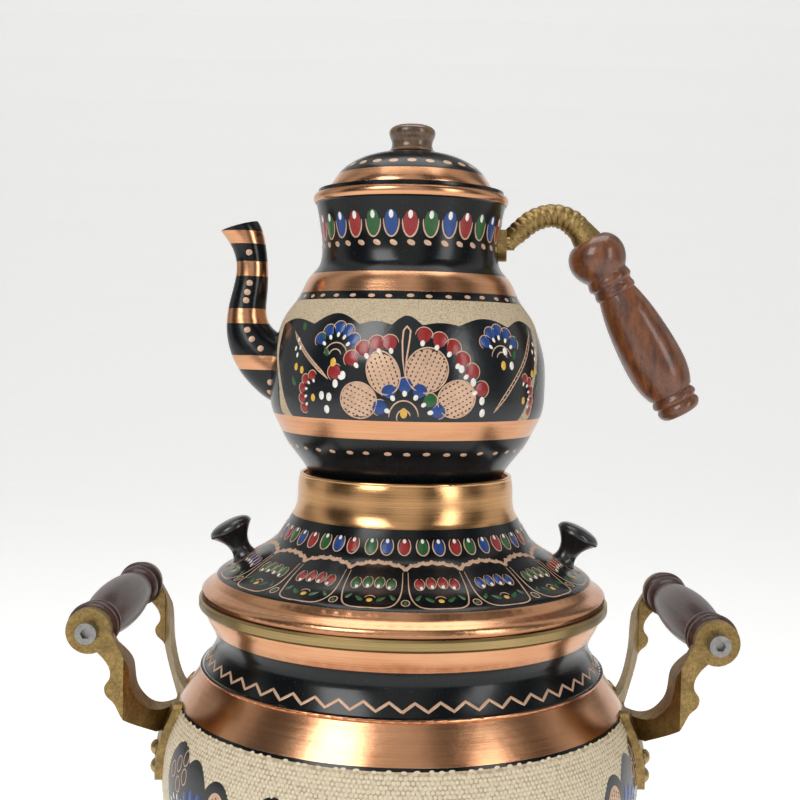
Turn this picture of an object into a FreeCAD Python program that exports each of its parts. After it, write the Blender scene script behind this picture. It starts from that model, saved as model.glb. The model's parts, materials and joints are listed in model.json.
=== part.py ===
import FreeCAD, Part
import math
import os

os.makedirs("parts", exist_ok=True)

V = FreeCAD.Vector
X_AXIS = V(1, 0, 0)
Y_AXIS = V(0, 1, 0)
Z_AXIS = V(0, 0, 1)

# Copper samovar with a teapot on its collar. Millimetres, +Z up, the axis of
# the turned parts is Z, the tap points to -Y, the spout to -X.

# overall sizes
BODY_R = 118.4
BODY_H = 182.7
BASE_H = 96.0
CONE_H = 38.3
COLLAR_H = 20.7
POT_R = 68.2
POT_H = 135.0
LID_RISE = 19.6

# sheet metal
COPPER = 1.2
TUBE_WALL = 1.5
FLOOR_SHEET = 1.5

# fits
SOLDER_GAP = 0.05
REST_GAP = 0.30
RUN_FIT = 0.08
SHANK_FIT = 0.05

# outlines: share of the largest radius, share of the height
BODY_SHAPE = (
    (0.540, 0.000),
    (0.625, 0.055),
    (0.760, 0.142),
    (0.887, 0.263),
    (0.971, 0.416),
    (1.000, 0.587),
    (0.980, 0.673),
    (0.929, 0.745),
    (0.845, 0.832),
    (0.796, 0.884),
    (0.782, 0.914),
    (0.802, 0.950),
    (0.831, 1.000),
)
POT_SHAPE = (
    (0.700, 0.010),
    (0.777, 0.074),
    (0.867, 0.133),
    (0.930, 0.193),
    (0.984, 0.256),
    (1.000, 0.341),
    (0.988, 0.456),
    (0.947, 0.529),
    (0.887, 0.601),
    (0.805, 0.658),
    (0.730, 0.733),
    (0.663, 0.774),
    (0.640, 0.822),
    (0.642, 0.885),
    (0.660, 0.941),
    (0.684, 1.000),
)
BEAD_R = 1.3
RIDGE_SHARE = 0.840

# mouth ring, cover and collar
MOUTH_RING_H = 5.6
MOUTH_RING_LIP = 3.1
COVER_RIM_H = 8.3
COLLAR_WALL = 1.4
POT_SINK = 3.0
POT_SIDE_ROOM = 3.5
SEAT_SHEET = 2.0
SEAT_SLOTS = 12
SEAT_SLOT_R = 2.5
SLEEVE_ROOM = 0.6
SLEEVE_H = 24.0
SKIRT_H = 14.0
SKIRT_INSET = 3.8

# fire tube and grate
TUBE_R = 36.0
TUBE_TOP_ROOM = 9.0
GRATE_T = 4.0
GRATE_LEDGE = 3.5
GRATE_SLOTS = 7
GRATE_SLOT_W = 4.0
GRATE_PITCH = 8.0
GRATE_BORDER = 5.0

# pedestal, pan and foot ring
PEDESTAL_WAIST_R = 57.0
PEDESTAL_FOOT_R = 98.0
AIR_HOLES = 12
AIR_HOLE_R = 4.5
AIR_HOLE_Z = 38.0
FOOT_R = 105.0
FOOT_W = 13.0
FOOT_H = 16.0
PAN_Z = 10.5
PAN_LEDGE = 5.0
BASE_SCREWS = 6
BASE_SCREW_R = 1.5
BASE_SCREW_L = 8.0
BASE_SCREW_HEAD_R = 2.4
BASE_SCREW_HEAD_H = 1.8

# side handles
HANDLE_OUT = 24.9
GRIP_Z = 275.5
EYE_R = 10.4
EYE_Y = 57.0
ARM_T = 5.0
ARM_FOOT_Y = 27.0
FOOT_PLATE_T = 3.6
FOOT_PLATE_W = 16.0
FOOT_PLATE_Z = 204.0
FOOT_PLATE_TOP = 226.0
ARM_RIVET_R = 2.0
ARM_RIVET_HEAD_R = 3.6
ARM_RIVET_HEAD_H = 2.0
ARM_RIVET_Z = (203.0, 212.0)
BOLT_R = 3.0
BOLT_HEAD_R = 4.9
BOLT_HEAD_H = 5.0
BOLT_SOCKET_R = 2.4
BOLT_SOCKET_D = 2.6
NUT_R = 5.6
NUT_H = 5.0
BOLT_TIP = 1.5
GRIP_END_R = 11.6
GRIP_BELLY_R = 12.0
GRIP_NECK_R = 8.8

# tap
TAP_Z = 125.0
TAP_SHANK_R = 7.0
TAP_FLANGE_R = 15.0
TAP_FLANGE_OUT = 12.0
TAP_BARREL_R = 8.0
TAP_PLUG_OUT = 47.5
TAP_SPOUT_OUT = 20.0
TAP_HOUSING_R = 11.0
TAP_HOUSING_UP = 15.0
TAP_HOUSING_DOWN = 16.0
TAP_BORE_R = 4.0
TAP_NOZZLE_R = 7.0
TAP_NOZZLE_DROP = 27.0
PLUG_TOP_R = 7.4
PLUG_BOTTOM_R = 6.2
KEY_STEM_R = 4.2
KEY_STEM_H = 16.0
KEY_BAR_R = 3.4
KEY_BAR_L = 36.0
KEY_BALL_R = 4.6
STUB_R = 3.0
KEY_WASHER_T = 1.5
KEY_NUT_R = 6.0
KEY_NUT_H = 4.5
TAP_NUT_R = 12.0
TAP_NUT_H = 7.0
TAP_WASHER_R = 13.0
TAP_WASHER_IN = 14.0

# knobs of the cover
KNOB_AT = 80.0
KNOB_TILT = 28.0
KNOB_CAP_R = 11.0
KNOB_STEM_R = 5.2
KNOB_H = 20.0
KNOB_SCREW_R = 2.0
KNOB_SCREW_HEAD_R = 4.0
KNOB_SCREW_HEAD_H = 2.2
KNOB_SCREW_DEPTH = 11.0

# teapot
POT_RIM_H = 5.6
POUR_HOLE_R = 9.0
POUR_HOLE_UP = 53.0
SPOUT_WALL = 1.2
# centre of each ring of the spout out from the axis and up from the bottom, tilt, radius
SPOUT_RINGS = (
    (56.0, 50.0, 62.0, 15.5),
    (67.0, 55.5, 54.0, 15.2),
    (75.5, 64.0, 34.0, 13.2),
    (80.2, 75.0, 8.0, 10.6),
    (80.4, 84.0, -5.0, 9.3),
    (79.0, 93.0, -8.0, 8.5),
    (78.3, 103.0, 0.0, 7.8),
    (79.4, 112.0, 14.0, 8.0),
    (82.8, 121.0, 28.0, 8.9),
    (88.8, 131.0, 34.0, 9.8),
)
SPOUT_TIP_LOW = (96.3, 120.6)
SPOUT_TIP_HIGH = (74.3, 126.9)
BRACKET_RINGS = (
    (47.0, 117.0, 30.0, 4.6),
    (54.0, 124.0, 50.0, 4.8),
    (61.5, 129.8, 66.0, 5.0),
    (71.4, 132.2, 90.0, 5.1),
    (80.1, 129.0, 118.0, 5.5),
    (85.6, 123.5, 142.0, 6.6),
    (88.2, 120.3, 149.8, 7.4),
)
BRACKET_PLATE_R = 9.0
BRACKET_PLATE_T = 4.2
WEB_R = 4.4
BRACKET_PLATE_LOW = 118.0
BRACKET_PLATE_HIGH = 124.0
POT_RIVET_R = 1.3
POT_RIVET_HEAD_R = 2.1
POT_RIVET_HEAD_H = 1.4
POT_RIVET_Y = 6.8
POT_RIVET_Z = 118.5
POT_GRIP_L = 98.0
POT_GRIP_TILT = 149.8
# share of the length, radius
POT_GRIP_SHAPE = (
    (0.000, 8.6),
    (0.035, 12.6),
    (0.090, 14.4),
    (0.145, 13.6),
    (0.190, 11.2),
    (0.200, 10.6),
    (0.215, 10.9),
    (0.245, 11.0),
    (0.255, 10.2),
    (0.265, 10.0),
    (0.280, 10.4),
    (0.300, 10.4),
    (0.310, 9.7),
)
POT_GRIP_BELLY = (
    (0.310, 9.7),
    (0.430, 12.4),
    (0.570, 14.0),
    (0.700, 14.6),
    (0.810, 13.6),
    (0.880, 11.2),
)
POT_GRIP_END = (
    (0.880, 11.2),
    (0.888, 10.2),
    (0.900, 10.9),
    (0.930, 11.0),
    (0.940, 10.0),
    (0.952, 10.6),
    (0.985, 10.2),
    (1.000, 8.6),
)
POT_BOLT_R = 2.5
POT_BOLT_HEAD_R = 4.6
POT_BOLT_HEAD_H = 2.8
POT_BOLT_SINK = 6.0
POT_BOLT_THREAD = 9.0
POT_WASHER_T = 1.0
POT_WASHER_R = 5.6

# lid of the teapot
LID_SHAPE = (
    (0.875, 0.000),
    (0.862, 0.140),
    (0.829, 0.268),
    (0.777, 0.440),
    (0.710, 0.590),
    (0.601, 0.755),
    (0.360, 0.945),
    (0.170, 0.995),
    (0.000, 1.000),
)
LID_FLANGE_R = 45.9
LID_FLANGE_T = 1.3
LID_SKIRT_R = 40.6
LID_SKIRT_H = 11.0
LID_KNOB_SHAPE = (
    (12.4, 0.0),
    (11.2, 0.8),
    (10.4, 2.0),
    (10.3, 5.6),
    (10.8, 6.8),
    (11.4, 8.6),
    (11.2, 10.8),
    (9.0, 12.6),
    (4.5, 13.3),
    (0.0, 13.4),
)
LID_SCREW_R = 1.9
LID_SCREW_DEPTH = 8.5
LID_SCREW_HEAD_R = 3.5
LID_SCREW_HEAD_H = 2.0
LID_WASHER_R = 5.0
LID_WASHER_T = 1.0


def curve(points):
    """Smooth edge through points given as (radius, height)."""
    spline = Part.BSplineCurve()
    spline.interpolate([V(r, 0, z) for r, z in points])
    return spline.toShape()


def lines(points):
    """Straight edges through points given as (radius, height)."""
    pairs = zip(points[:-1], points[1:])
    return [Part.makeLine(V(a[0], 0, a[1]), V(b[0], 0, b[1])) for a, b in pairs]


def spin(edges):
    """Solid of revolution about Z of a closed outline in the XZ plane."""
    face = Part.Face(Part.Wire(Part.__sortEdges__(edges)))
    return face.revolve(V(0, 0, 0), Z_AXIS, 360)


def spin_lines(points):
    """Solid of revolution of a closed outline of straight edges."""
    return spin(lines(list(points) + [points[0]]))


def offset(points, distance):
    """Points moved sideways by a distance, outwards if positive."""
    moved = []
    last = len(points) - 1
    for i, (r, z) in enumerate(points):
        r0, z0 = points[max(i - 1, 0)]
        r1, z1 = points[min(i + 1, last)]
        length = math.hypot(r1 - r0, z1 - z0)
        moved.append((r + distance * (z1 - z0) / length, z - distance * (r1 - r0) / length))
    return moved


def sheet(points, wall):
    """Sheet of revolution whose outer side follows the points, bottom to top."""
    inner = offset(points, -wall)
    ends = lines([points[-1], inner[-1]]) + lines([inner[0], points[0]])
    return spin([curve(points), curve(inner)] + ends)


def filled(points, distance):
    """Solid within an outline moved outwards by a distance."""
    moved = offset(points, distance)
    low = (0.0, moved[0][1])
    high = (0.0, moved[-1][1])
    return spin([curve(moved)] + lines([moved[-1], high, low, moved[0]]))


def ring(r_in, r_out, z0, z1):
    """Flat ring or tube about Z."""
    return rod(r_out, V(0, 0, z0), Z_AXIS, z1 - z0).cut(rod(r_in, V(0, 0, z0 - 1), Z_AXIS, z1 - z0 + 2))


def rod(radius, start, direction, length):
    """Round bar."""
    return Part.makeCylinder(radius, length, start, direction)


def hexagon(radius, start, direction, length):
    """Six-sided bar, radius to the corners."""
    corners = [V(radius * math.cos(math.radians(60 * i)), radius * math.sin(math.radians(60 * i)), 0)
               for i in range(7)]
    bar = Part.Face(Part.makePolygon(corners)).extrude(V(0, 0, length))
    bar.Placement = FreeCAD.Placement(start, FreeCAD.Rotation(Z_AXIS, direction))
    return bar


def turned(points, start, direction):
    """Solid turned about a slanted axis from (radius, distance along) lines and curves."""
    body = spin(points)
    body.Placement = FreeCAD.Placement(start, FreeCAD.Rotation(Z_AXIS, direction))
    return body


def hoop(out, up, tilt, radius, side, base):
    """Circle across a bent tube in the XZ plane, tilt in degrees from upright."""
    lean = math.radians(tilt)
    centre = V(side * out, 0, base + up)
    normal = V(side * math.sin(lean), 0, math.cos(lean))
    return Part.Wire(Part.makeCircle(radius, centre, normal))


def bent_tube(rings, side, base, shrink):
    """Solid lofted through the rings of a bent tube."""
    return Part.makeLoft([hoop(o, u, t, r - shrink, side, base) for o, u, t, r in rings], True)


def mirrored_x(shape):
    return shape.mirror(V(0, 0, 0), X_AXIS)


def mirrored_y(shape):
    return shape.mirror(V(0, 0, 0), Y_AXIS)


def group(solids):
    return Part.makeCompound(solids)


def save(name, shape):
    shape.exportStep("parts/" + name + ".step")


def scaled(shape, radius, height, bottom):
    return [(r * radius, bottom + z * height) for r, z in shape]


def radius_at(points, height):
    """Radius of a line through the points at a height."""
    for (r0, z0), (r1, z1) in zip(points[:-1], points[1:]):
        if z0 <= height <= z1:
            return r0 + (r1 - r0) * (height - z0) / (z1 - z0)
    return points[-1][0]


# heights that follow from the sizes
BODY_TOP = BASE_H + BODY_H
MOUTH_TOP = BODY_TOP + MOUTH_RING_H
COVER_Z = MOUTH_TOP + REST_GAP
CONE_Z = COVER_Z + 1.4
COLLAR_Z = CONE_Z + CONE_H
COLLAR_TOP = COLLAR_Z + COLLAR_H
POT_Z = COLLAR_TOP - POT_SINK
POT_TOP = POT_Z + POT_H
RIM_TOP = POT_TOP + POT_RIM_H
LID_Z = RIM_TOP + REST_GAP
LID_TOP = LID_Z + LID_FLANGE_T + LID_RISE
TUBE_TOP = POT_Z - REST_GAP - SEAT_SHEET - TUBE_TOP_ROOM

body_line = scaled(BODY_SHAPE, BODY_R, BODY_H, BASE_H)
pot_line = scaled(POT_SHAPE, POT_R, POT_H, POT_Z)
body_solid = filled(body_line, SOLDER_GAP)
body_void = filled(body_line, -COPPER - SOLDER_GAP)
pot_solid = filled(pot_line, SOLDER_GAP)
pot_void = filled(pot_line, -COPPER - SOLDER_GAP)
MOUTH_R = body_line[-1][0]
FOOT_IN_R = pot_line[0][0]
COLLAR_R = FOOT_IN_R + POT_SIDE_ROOM + COLLAR_WALL
HANDLE_X = BODY_R + HANDLE_OUT

# side handle arms, drawn for the front left one as distances out from the axis
ARM_OUTLINE_LOW = (
    (-4.0, -9.6),
    (-8.3, -14.2),
    (-10.2, -19.5),
    (-9.6, -22.1),
    (-7.8, -24.7),
    (-7.6, -27.5),
    (-9.2, -30.4),
    (-11.3, -32.2),
    (-13.8, -36.5),
    (-17.2, -42.1),
    (-21.5, -47.7),
    (-26.5, -53.8),
)
ARM_OUTLINE_HIGH = (
    (-40.0, -44.6),
    (-31.7, -44.9),
    (-28.1, -44.1),
    (-24.0, -40.7),
    (-20.9, -35.1),
    (-19.0, -29.6),
    (-18.1, -22.8),
    (-17.4, -16.1),
    (-15.2, -10.1),
    (-12.3, -4.4),
    (-9.0, 1.0),
)


def flat_edge(points):
    spline = Part.BSplineCurve()
    spline.interpolate([V(HANDLE_X + x, 0, GRIP_Z + z) for x, z in points])
    return spline.toShape()


def arm():
    """Cast arm of the left-hand pair in front, for +X and +Y, before it is mirrored."""
    low = flat_edge(ARM_OUTLINE_LOW)
    high = flat_edge(ARM_OUTLINE_HIGH)
    low_end = ARM_OUTLINE_LOW[-1]
    high_start = ARM_OUTLINE_HIGH[0]
    ends = []
    for a, b in ((low_end, (-40.0, -58.0)), ((-40.0, -58.0), high_start),
                 (ARM_OUTLINE_HIGH[-1], ARM_OUTLINE_LOW[0])):
        ends.append(Part.makeLine(V(HANDLE_X + a[0], 0, GRIP_Z + a[1]), V(HANDLE_X + b[0], 0, GRIP_Z + b[1])))
    wire = Part.Wire(Part.__sortEdges__([low, high] + ends))
    front = Part.Face(wire).extrude(V(0, 90, 0))
    eye = rod(EYE_R, V(HANDLE_X, 0, GRIP_Z), Y_AXIS, 90)
    front = front.fuse(eye)
    half = ARM_T / 2
    knee = HANDLE_X - GRIP_BELLY_R - 2.5
    foot = HANDLE_X - HANDLE_OUT - 2.0
    slant = math.atan2(EYE_Y - ARM_FOOT_Y, knee - foot)
    wide = half / math.cos(slant)
    shift = half * math.tan(slant / 2)
    inward = (EYE_Y - ARM_FOOT_Y) / (knee - foot)
    deep = foot - 18.0
    plan = Part.makePolygon([
        V(HANDLE_X + 20, EYE_Y + half, 0),
        V(knee - shift, EYE_Y + half, 0),
        V(deep, EYE_Y - inward * (knee - deep) + wide, 0),
        V(deep, EYE_Y - inward * (knee - deep) - wide, 0),
        V(knee + shift, EYE_Y - half, 0),
        V(HANDLE_X + 20, EYE_Y - half, 0),
        V(HANDLE_X + 20, EYE_Y + half, 0),
    ])
    strip = Part.Face(plan).extrude(V(0, 0, 400))
    bar = front.common(strip)
    reach = BODY_R + 30
    plate = Part.makeBox(reach, FOOT_PLATE_W, FOOT_PLATE_TOP - FOOT_PLATE_Z,
                         V(0, ARM_FOOT_Y - FOOT_PLATE_W / 2, FOOT_PLATE_Z))
    plate = plate.fuse(rod(FOOT_PLATE_W / 2, V(0, ARM_FOOT_Y, FOOT_PLATE_Z), X_AXIS, reach))
    plate = plate.fuse(rod(FOOT_PLATE_W / 2, V(0, ARM_FOOT_Y, FOOT_PLATE_TOP), X_AXIS, reach))
    plate = plate.common(filled(body_line, FOOT_PLATE_T))
    whole = plate.fuse(bar).cut(body_solid)
    whole = whole.cut(rod(BOLT_R + SHANK_FIT, V(HANDLE_X, 0, GRIP_Z), Y_AXIS, 90))
    return whole.cut(group([rivet_hole(z) for z in ARM_RIVET_Z])).removeSplitter()


def rivet_axis(z):
    """Point and direction of an arm rivet of the +X +Y foot."""
    turn = math.asin(ARM_FOOT_Y / BODY_R)
    return V(0, 0, z), V(math.cos(turn), math.sin(turn), 0)


def rivet_hole(z):
    start, direction = rivet_axis(z)
    return rod(ARM_RIVET_R + SHANK_FIT, start, direction, BODY_R + 30)


def rivet(z):
    start, direction = rivet_axis(z)
    far = BODY_R + FOOT_PLATE_T
    shank = rod(ARM_RIVET_R, start + direction * (BODY_R - 6), direction, FOOT_PLATE_T + 6)
    dome_r = (ARM_RIVET_HEAD_R ** 2 + ARM_RIVET_HEAD_H ** 2) / (2 * ARM_RIVET_HEAD_H)
    dome = Part.makeSphere(dome_r, start + direction * (far + ARM_RIVET_HEAD_H - dome_r))
    head = rod(ARM_RIVET_HEAD_R, start + direction * (BODY_R - 6), direction, 20)
    outer = head.common(dome).cut(filled(body_line, FOOT_PLATE_T + SOLDER_GAP))
    inner = rod(ARM_RIVET_HEAD_R, start + direction * (BODY_R - 6), direction, 6).common(body_void)
    return shank.fuse(outer).fuse(inner).removeSplitter()


def four(shape):
    """The shape on both sides, front and back."""
    back = [shape, mirrored_x(shape)]
    return back + [mirrored_y(s) for s in back]


# water vessel
arm_holes = []
for z in ARM_RIVET_Z:
    arm_holes += four(rivet_hole(z))
tap_hole = rod(TAP_SHANK_R + SHANK_FIT, V(0, 0, TAP_Z), V(0, -1, 0), BODY_R + 10)
ridge_z = BASE_H + RIDGE_SHARE * BODY_H
ridge_r = radius_at(body_line, ridge_z)
ridge = Part.makeTorus(ridge_r, BEAD_R, V(0, 0, ridge_z), Z_AXIS)
body_shell = sheet(body_line, COPPER)
body_shell = body_shell.fuse(ridge.cut(filled(body_line, -COPPER / 2)))
above = rod(BODY_R, V(0, 0, BODY_TOP), Z_AXIS, 10)
body_shell = body_shell.cut(group(arm_holes + [tap_hole, above])).removeSplitter()
save("body_shell", body_shell)

mouth_in = MOUTH_R - COPPER - 1.0
mouth_out = MOUTH_R + MOUTH_RING_LIP
ring_z = BODY_TOP + SOLDER_GAP
mouth_ring = spin_lines([
    (mouth_in, ring_z),
    (mouth_out - 1.2, ring_z),
    (mouth_out, ring_z + 1.2),
    (mouth_out, MOUTH_TOP - 1.0),
    (mouth_out - 0.8, MOUTH_TOP),
    (mouth_in, MOUTH_TOP),
])
save("mouth_ring", mouth_ring)

fire_tube = ring(TUBE_R - TUBE_WALL, TUBE_R, BASE_H, TUBE_TOP)
save("fire_tube", fire_tube)

floor_z = BASE_H + 2.0
water_bottom = ring(TUBE_R + SOLDER_GAP, BODY_R, floor_z, floor_z + FLOOR_SHEET).common(body_void)
save("water_bottom", water_bottom)

# pedestal
PEDESTAL_SHAPE = (
    (PEDESTAL_FOOT_R, FOOT_H + SOLDER_GAP),
    (0.86 * PEDESTAL_FOOT_R, 0.27 * BASE_H),
    (0.72 * PEDESTAL_FOOT_R, 0.43 * BASE_H),
    (1.06 * PEDESTAL_WAIST_R, 0.66 * BASE_H),
    (PEDESTAL_WAIST_R, 0.82 * BASE_H),
    (1.02 * PEDESTAL_WAIST_R, 0.92 * BASE_H),
    (1.10 * PEDESTAL_WAIST_R, BASE_H - FLOOR_SHEET - SOLDER_GAP),
)
GRATE_R = TUBE_R - TUBE_WALL - REST_GAP
pedestal = sheet(PEDESTAL_SHAPE, FLOOR_SHEET)
pedestal = pedestal.fuse(ring(GRATE_R - GRATE_LEDGE, 1.10 * PEDESTAL_WAIST_R,
                              BASE_H - FLOOR_SHEET - SOLDER_GAP, BASE_H - SOLDER_GAP))
air = [rod(AIR_HOLE_R, V(0, 0, AIR_HOLE_Z), V(math.cos(a), math.sin(a), 0), 2 * PEDESTAL_FOOT_R)
       for a in [2 * math.pi * (i + 0.5) / AIR_HOLES for i in range(AIR_HOLES)]]
below = rod(FOOT_R, V(0, 0, 0), Z_AXIS, FOOT_H + SOLDER_GAP)
pedestal = pedestal.cut(group(air)).cut(below).removeSplitter()
save("pedestal", pedestal)

grate = rod(GRATE_R, V(0, 0, BASE_H), Z_AXIS, GRATE_T)
for i in range(GRATE_SLOTS):
    across = (i - (GRATE_SLOTS - 1) / 2) * GRATE_PITCH
    half = math.sqrt((GRATE_R - GRATE_BORDER) ** 2 - across ** 2)
    grate = grate.cut(Part.makeBox(2 * half, GRATE_SLOT_W, GRATE_T + 2,
                                   V(-half, across - GRATE_SLOT_W / 2, BASE_H - 1)))
save("grate", grate)

foot_in = FOOT_R - FOOT_W
ledge_r = foot_in + PAN_LEDGE
foot_ring = spin_lines([
    (foot_in, 0.0),
    (FOOT_R - 1.0, 0.0),
    (FOOT_R, 2.0),
    (FOOT_R, 6.5),
    (FOOT_R - 2.2, 11.0),
    (PEDESTAL_FOOT_R + 0.6, FOOT_H),
    (ledge_r, FOOT_H),
    (ledge_r, PAN_Z),
    (foot_in, PAN_Z),
])
screw_spots = []
for i in range(BASE_SCREWS):
    a = 2 * math.pi * i / BASE_SCREWS
    spot_r = foot_in + PAN_LEDGE / 2 - 0.3
    screw_spots.append((spot_r * math.cos(a), spot_r * math.sin(a)))
pan_low = PAN_Z + SOLDER_GAP
pan_top = pan_low + FLOOR_SHEET
screw_z = pan_top + SOLDER_GAP
pan_holes = [rod(BASE_SCREW_R + SHANK_FIT, V(x, y, screw_z - BASE_SCREW_L - 1), Z_AXIS, BASE_SCREW_L + 5)
             for x, y in screw_spots]
foot_ring = foot_ring.cut(group(pan_holes))
save("foot_ring", foot_ring)

ash_pan = rod(ledge_r - SOLDER_GAP, V(0, 0, pan_low), Z_AXIS, FLOOR_SHEET).cut(group(pan_holes))
save("ash_pan", ash_pan)

base_screws = [rod(BASE_SCREW_R, V(x, y, screw_z - BASE_SCREW_L), Z_AXIS, BASE_SCREW_L).fuse(
    rod(BASE_SCREW_HEAD_R, V(x, y, screw_z), Z_AXIS, BASE_SCREW_HEAD_H)).removeSplitter()
    for x, y in screw_spots]
save("base_screws", group(base_screws))

# side handles
right_rear = arm()
save("arm_right_rear", right_rear)
save("arm_left_rear", mirrored_x(right_rear))
save("arm_right_front", mirrored_y(right_rear))
save("arm_left_front", mirrored_y(mirrored_x(right_rear)))

arm_rivets = []
for z in ARM_RIVET_Z:
    arm_rivets += four(rivet(z))
save("arm_rivets", group(arm_rivets))

EYE_OUT = EYE_Y + ARM_T / 2
EYE_IN = EYE_Y - ARM_T / 2
head_y = -EYE_OUT - SOLDER_GAP
bolt_end = EYE_OUT + SOLDER_GAP + NUT_H + BOLT_TIP
bolt = rod(BOLT_R, V(HANDLE_X, head_y, GRIP_Z), Y_AXIS, bolt_end - head_y)
bolt = bolt.fuse(rod(BOLT_HEAD_R, V(HANDLE_X, head_y - BOLT_HEAD_H, GRIP_Z), Y_AXIS, BOLT_HEAD_H))
bolt = bolt.cut(hexagon(BOLT_SOCKET_R, V(HANDLE_X, head_y - BOLT_HEAD_H - 1, GRIP_Z), Y_AXIS,
                        BOLT_SOCKET_D + 1)).removeSplitter()
save("grip_bolts", group([bolt, mirrored_x(bolt)]))

nut = hexagon(NUT_R, V(HANDLE_X, EYE_OUT + SOLDER_GAP, GRIP_Z), Y_AXIS, NUT_H)
nut = nut.cut(rod(BOLT_R + SHANK_FIT, V(HANDLE_X, 0, GRIP_Z), Y_AXIS, 100))
save("grip_nuts", group([nut, mirrored_x(nut)]))

GRIP_HALF = EYE_IN - REST_GAP
bead = GRIP_HALF * 0.11
grip_end = [(GRIP_END_R - 1.2, GRIP_HALF), (GRIP_END_R, GRIP_HALF - 0.3 * bead),
            (GRIP_END_R, GRIP_HALF - 0.8 * bead), (GRIP_END_R - 1.0, GRIP_HALF - bead)]
grip_bead = [(GRIP_END_R - 1.0, GRIP_HALF - bead), (GRIP_END_R - 2.2, GRIP_HALF - 1.2 * bead),
             (GRIP_END_R - 0.8, GRIP_HALF - 1.7 * bead), (GRIP_END_R - 0.9, GRIP_HALF - 2.3 * bead),
             (GRIP_NECK_R, GRIP_HALF - 2.8 * bead)]
grip_belly = [(GRIP_NECK_R, GRIP_HALF - 2.8 * bead), (0.5 * (GRIP_NECK_R + GRIP_BELLY_R), 0.50 * GRIP_HALF),
              (GRIP_BELLY_R, 0.0), (0.5 * (GRIP_NECK_R + GRIP_BELLY_R), -0.50 * GRIP_HALF),
              (GRIP_NECK_R, -GRIP_HALF + 2.8 * bead)]
flip = [[(r, -z) for r, z in part] for part in (grip_end, grip_bead)]
axis_line = lines([(GRIP_END_R - 1.2, -GRIP_HALF), (0.0, -GRIP_HALF), (0.0, GRIP_HALF),
                   (GRIP_END_R - 1.2, GRIP_HALF)])
grip_outline = [curve(p) for p in [grip_end, grip_bead, grip_belly] + flip] + axis_line
grip = turned(grip_outline, V(HANDLE_X, 0, GRIP_Z), V(0, -1, 0))
grip = grip.cut(rod(BOLT_R + RUN_FIT, V(HANDLE_X, -EYE_Y, GRIP_Z), Y_AXIS, 2 * EYE_Y))
save("grip_right", grip)
save("grip_left", mirrored_x(grip))

# tap
wall_y = radius_at(body_line, TAP_Z)
plug_y = -wall_y - TAP_PLUG_OUT
nozzle_y = plug_y - TAP_SPOUT_OUT
OUT = V(0, -1, 0)
shank_in = wall_y - TAP_WASHER_IN - TAP_NUT_H - 3.0
tap_solid = rod(TAP_SHANK_R, V(0, -shank_in, TAP_Z), OUT, wall_y - shank_in)
flange = rod(TAP_FLANGE_R, V(0, -wall_y + 25, TAP_Z), OUT, 25 + TAP_FLANGE_OUT).cut(body_solid)
barrel = rod(TAP_BARREL_R, V(0, -wall_y - TAP_FLANGE_OUT, TAP_Z), OUT, -nozzle_y - wall_y - TAP_FLANGE_OUT)
housing_low = TAP_Z - TAP_HOUSING_DOWN
housing_high = TAP_Z + TAP_HOUSING_UP
housing = rod(TAP_HOUSING_R, V(0, plug_y, housing_low), Z_AXIS, housing_high - housing_low)
elbow = Part.makeSphere(TAP_BARREL_R + 0.8, V(0, nozzle_y, TAP_Z))
nozzle_low = TAP_Z - TAP_NOZZLE_DROP
nozzle = rod(TAP_NOZZLE_R, V(0, nozzle_y, nozzle_low), Z_AXIS, TAP_NOZZLE_DROP)
tap_solid = tap_solid.fuse([flange, barrel, housing, elbow, nozzle])
bore = rod(TAP_BORE_R, V(0, -shank_in + 1, TAP_Z), OUT, -nozzle_y - shank_in + 1)
drop = rod(TAP_BORE_R, V(0, nozzle_y, nozzle_low - 1), Z_AXIS, TAP_NOZZLE_DROP + 1)
seat_slope = (PLUG_TOP_R - PLUG_BOTTOM_R) / (housing_high - housing_low)
seat = Part.makeCone(PLUG_BOTTOM_R + RUN_FIT - seat_slope, PLUG_TOP_R + RUN_FIT + seat_slope,
                     housing_high - housing_low + 2, V(0, plug_y, housing_low - 1), Z_AXIS)
tap_body = tap_solid.cut([bore, drop, seat]).removeSplitter()
save("tap_body", tap_body)

washer = rod(TAP_WASHER_R, V(0, -wall_y + TAP_WASHER_IN, TAP_Z), OUT, 40).common(body_void)
washer = washer.cut(rod(TAP_SHANK_R + SHANK_FIT, V(0, 0, TAP_Z), OUT, BODY_R))
save("tap_washer", washer)

tap_nut = hexagon(TAP_NUT_R, V(0, -wall_y + TAP_WASHER_IN + TAP_NUT_H + SOLDER_GAP, TAP_Z), OUT, TAP_NUT_H)
tap_nut = tap_nut.cut(rod(TAP_SHANK_R + SHANK_FIT, V(0, 0, TAP_Z), OUT, BODY_R))
save("tap_nut", tap_nut)

key_low = housing_low - REST_GAP
key_high = housing_high + REST_GAP
stub_l = KEY_WASHER_T + KEY_NUT_H + 2.0
bar_z = key_high + KEY_STEM_H
half_bar = KEY_BAR_L / 2
plug_line = [
    (0.0, key_low - stub_l),
    (STUB_R, key_low - stub_l),
    (STUB_R, key_low),
    (PLUG_BOTTOM_R - seat_slope * REST_GAP, key_low),
    (PLUG_TOP_R + seat_slope * REST_GAP, key_high),
    (PLUG_TOP_R + 1.4, key_high),
    (PLUG_TOP_R + 1.4, key_high + 2.0),
    (KEY_STEM_R, key_high + 3.2),
    (KEY_STEM_R, bar_z),
    (0.0, bar_z),
]
bar = rod(KEY_BAR_R, V(-half_bar, plug_y, bar_z), X_AXIS, KEY_BAR_L)
balls = [Part.makeSphere(KEY_BALL_R, V(x, plug_y, bar_z)) for x in (-half_bar, 0, half_bar)]
key = spin_lines(plug_line)
key.translate(V(0, plug_y, 0))
key = key.cut(rod(TAP_BORE_R, V(-20, plug_y, TAP_Z), X_AXIS, 40)).fuse([bar] + balls)
save("tap_key", key)

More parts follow.
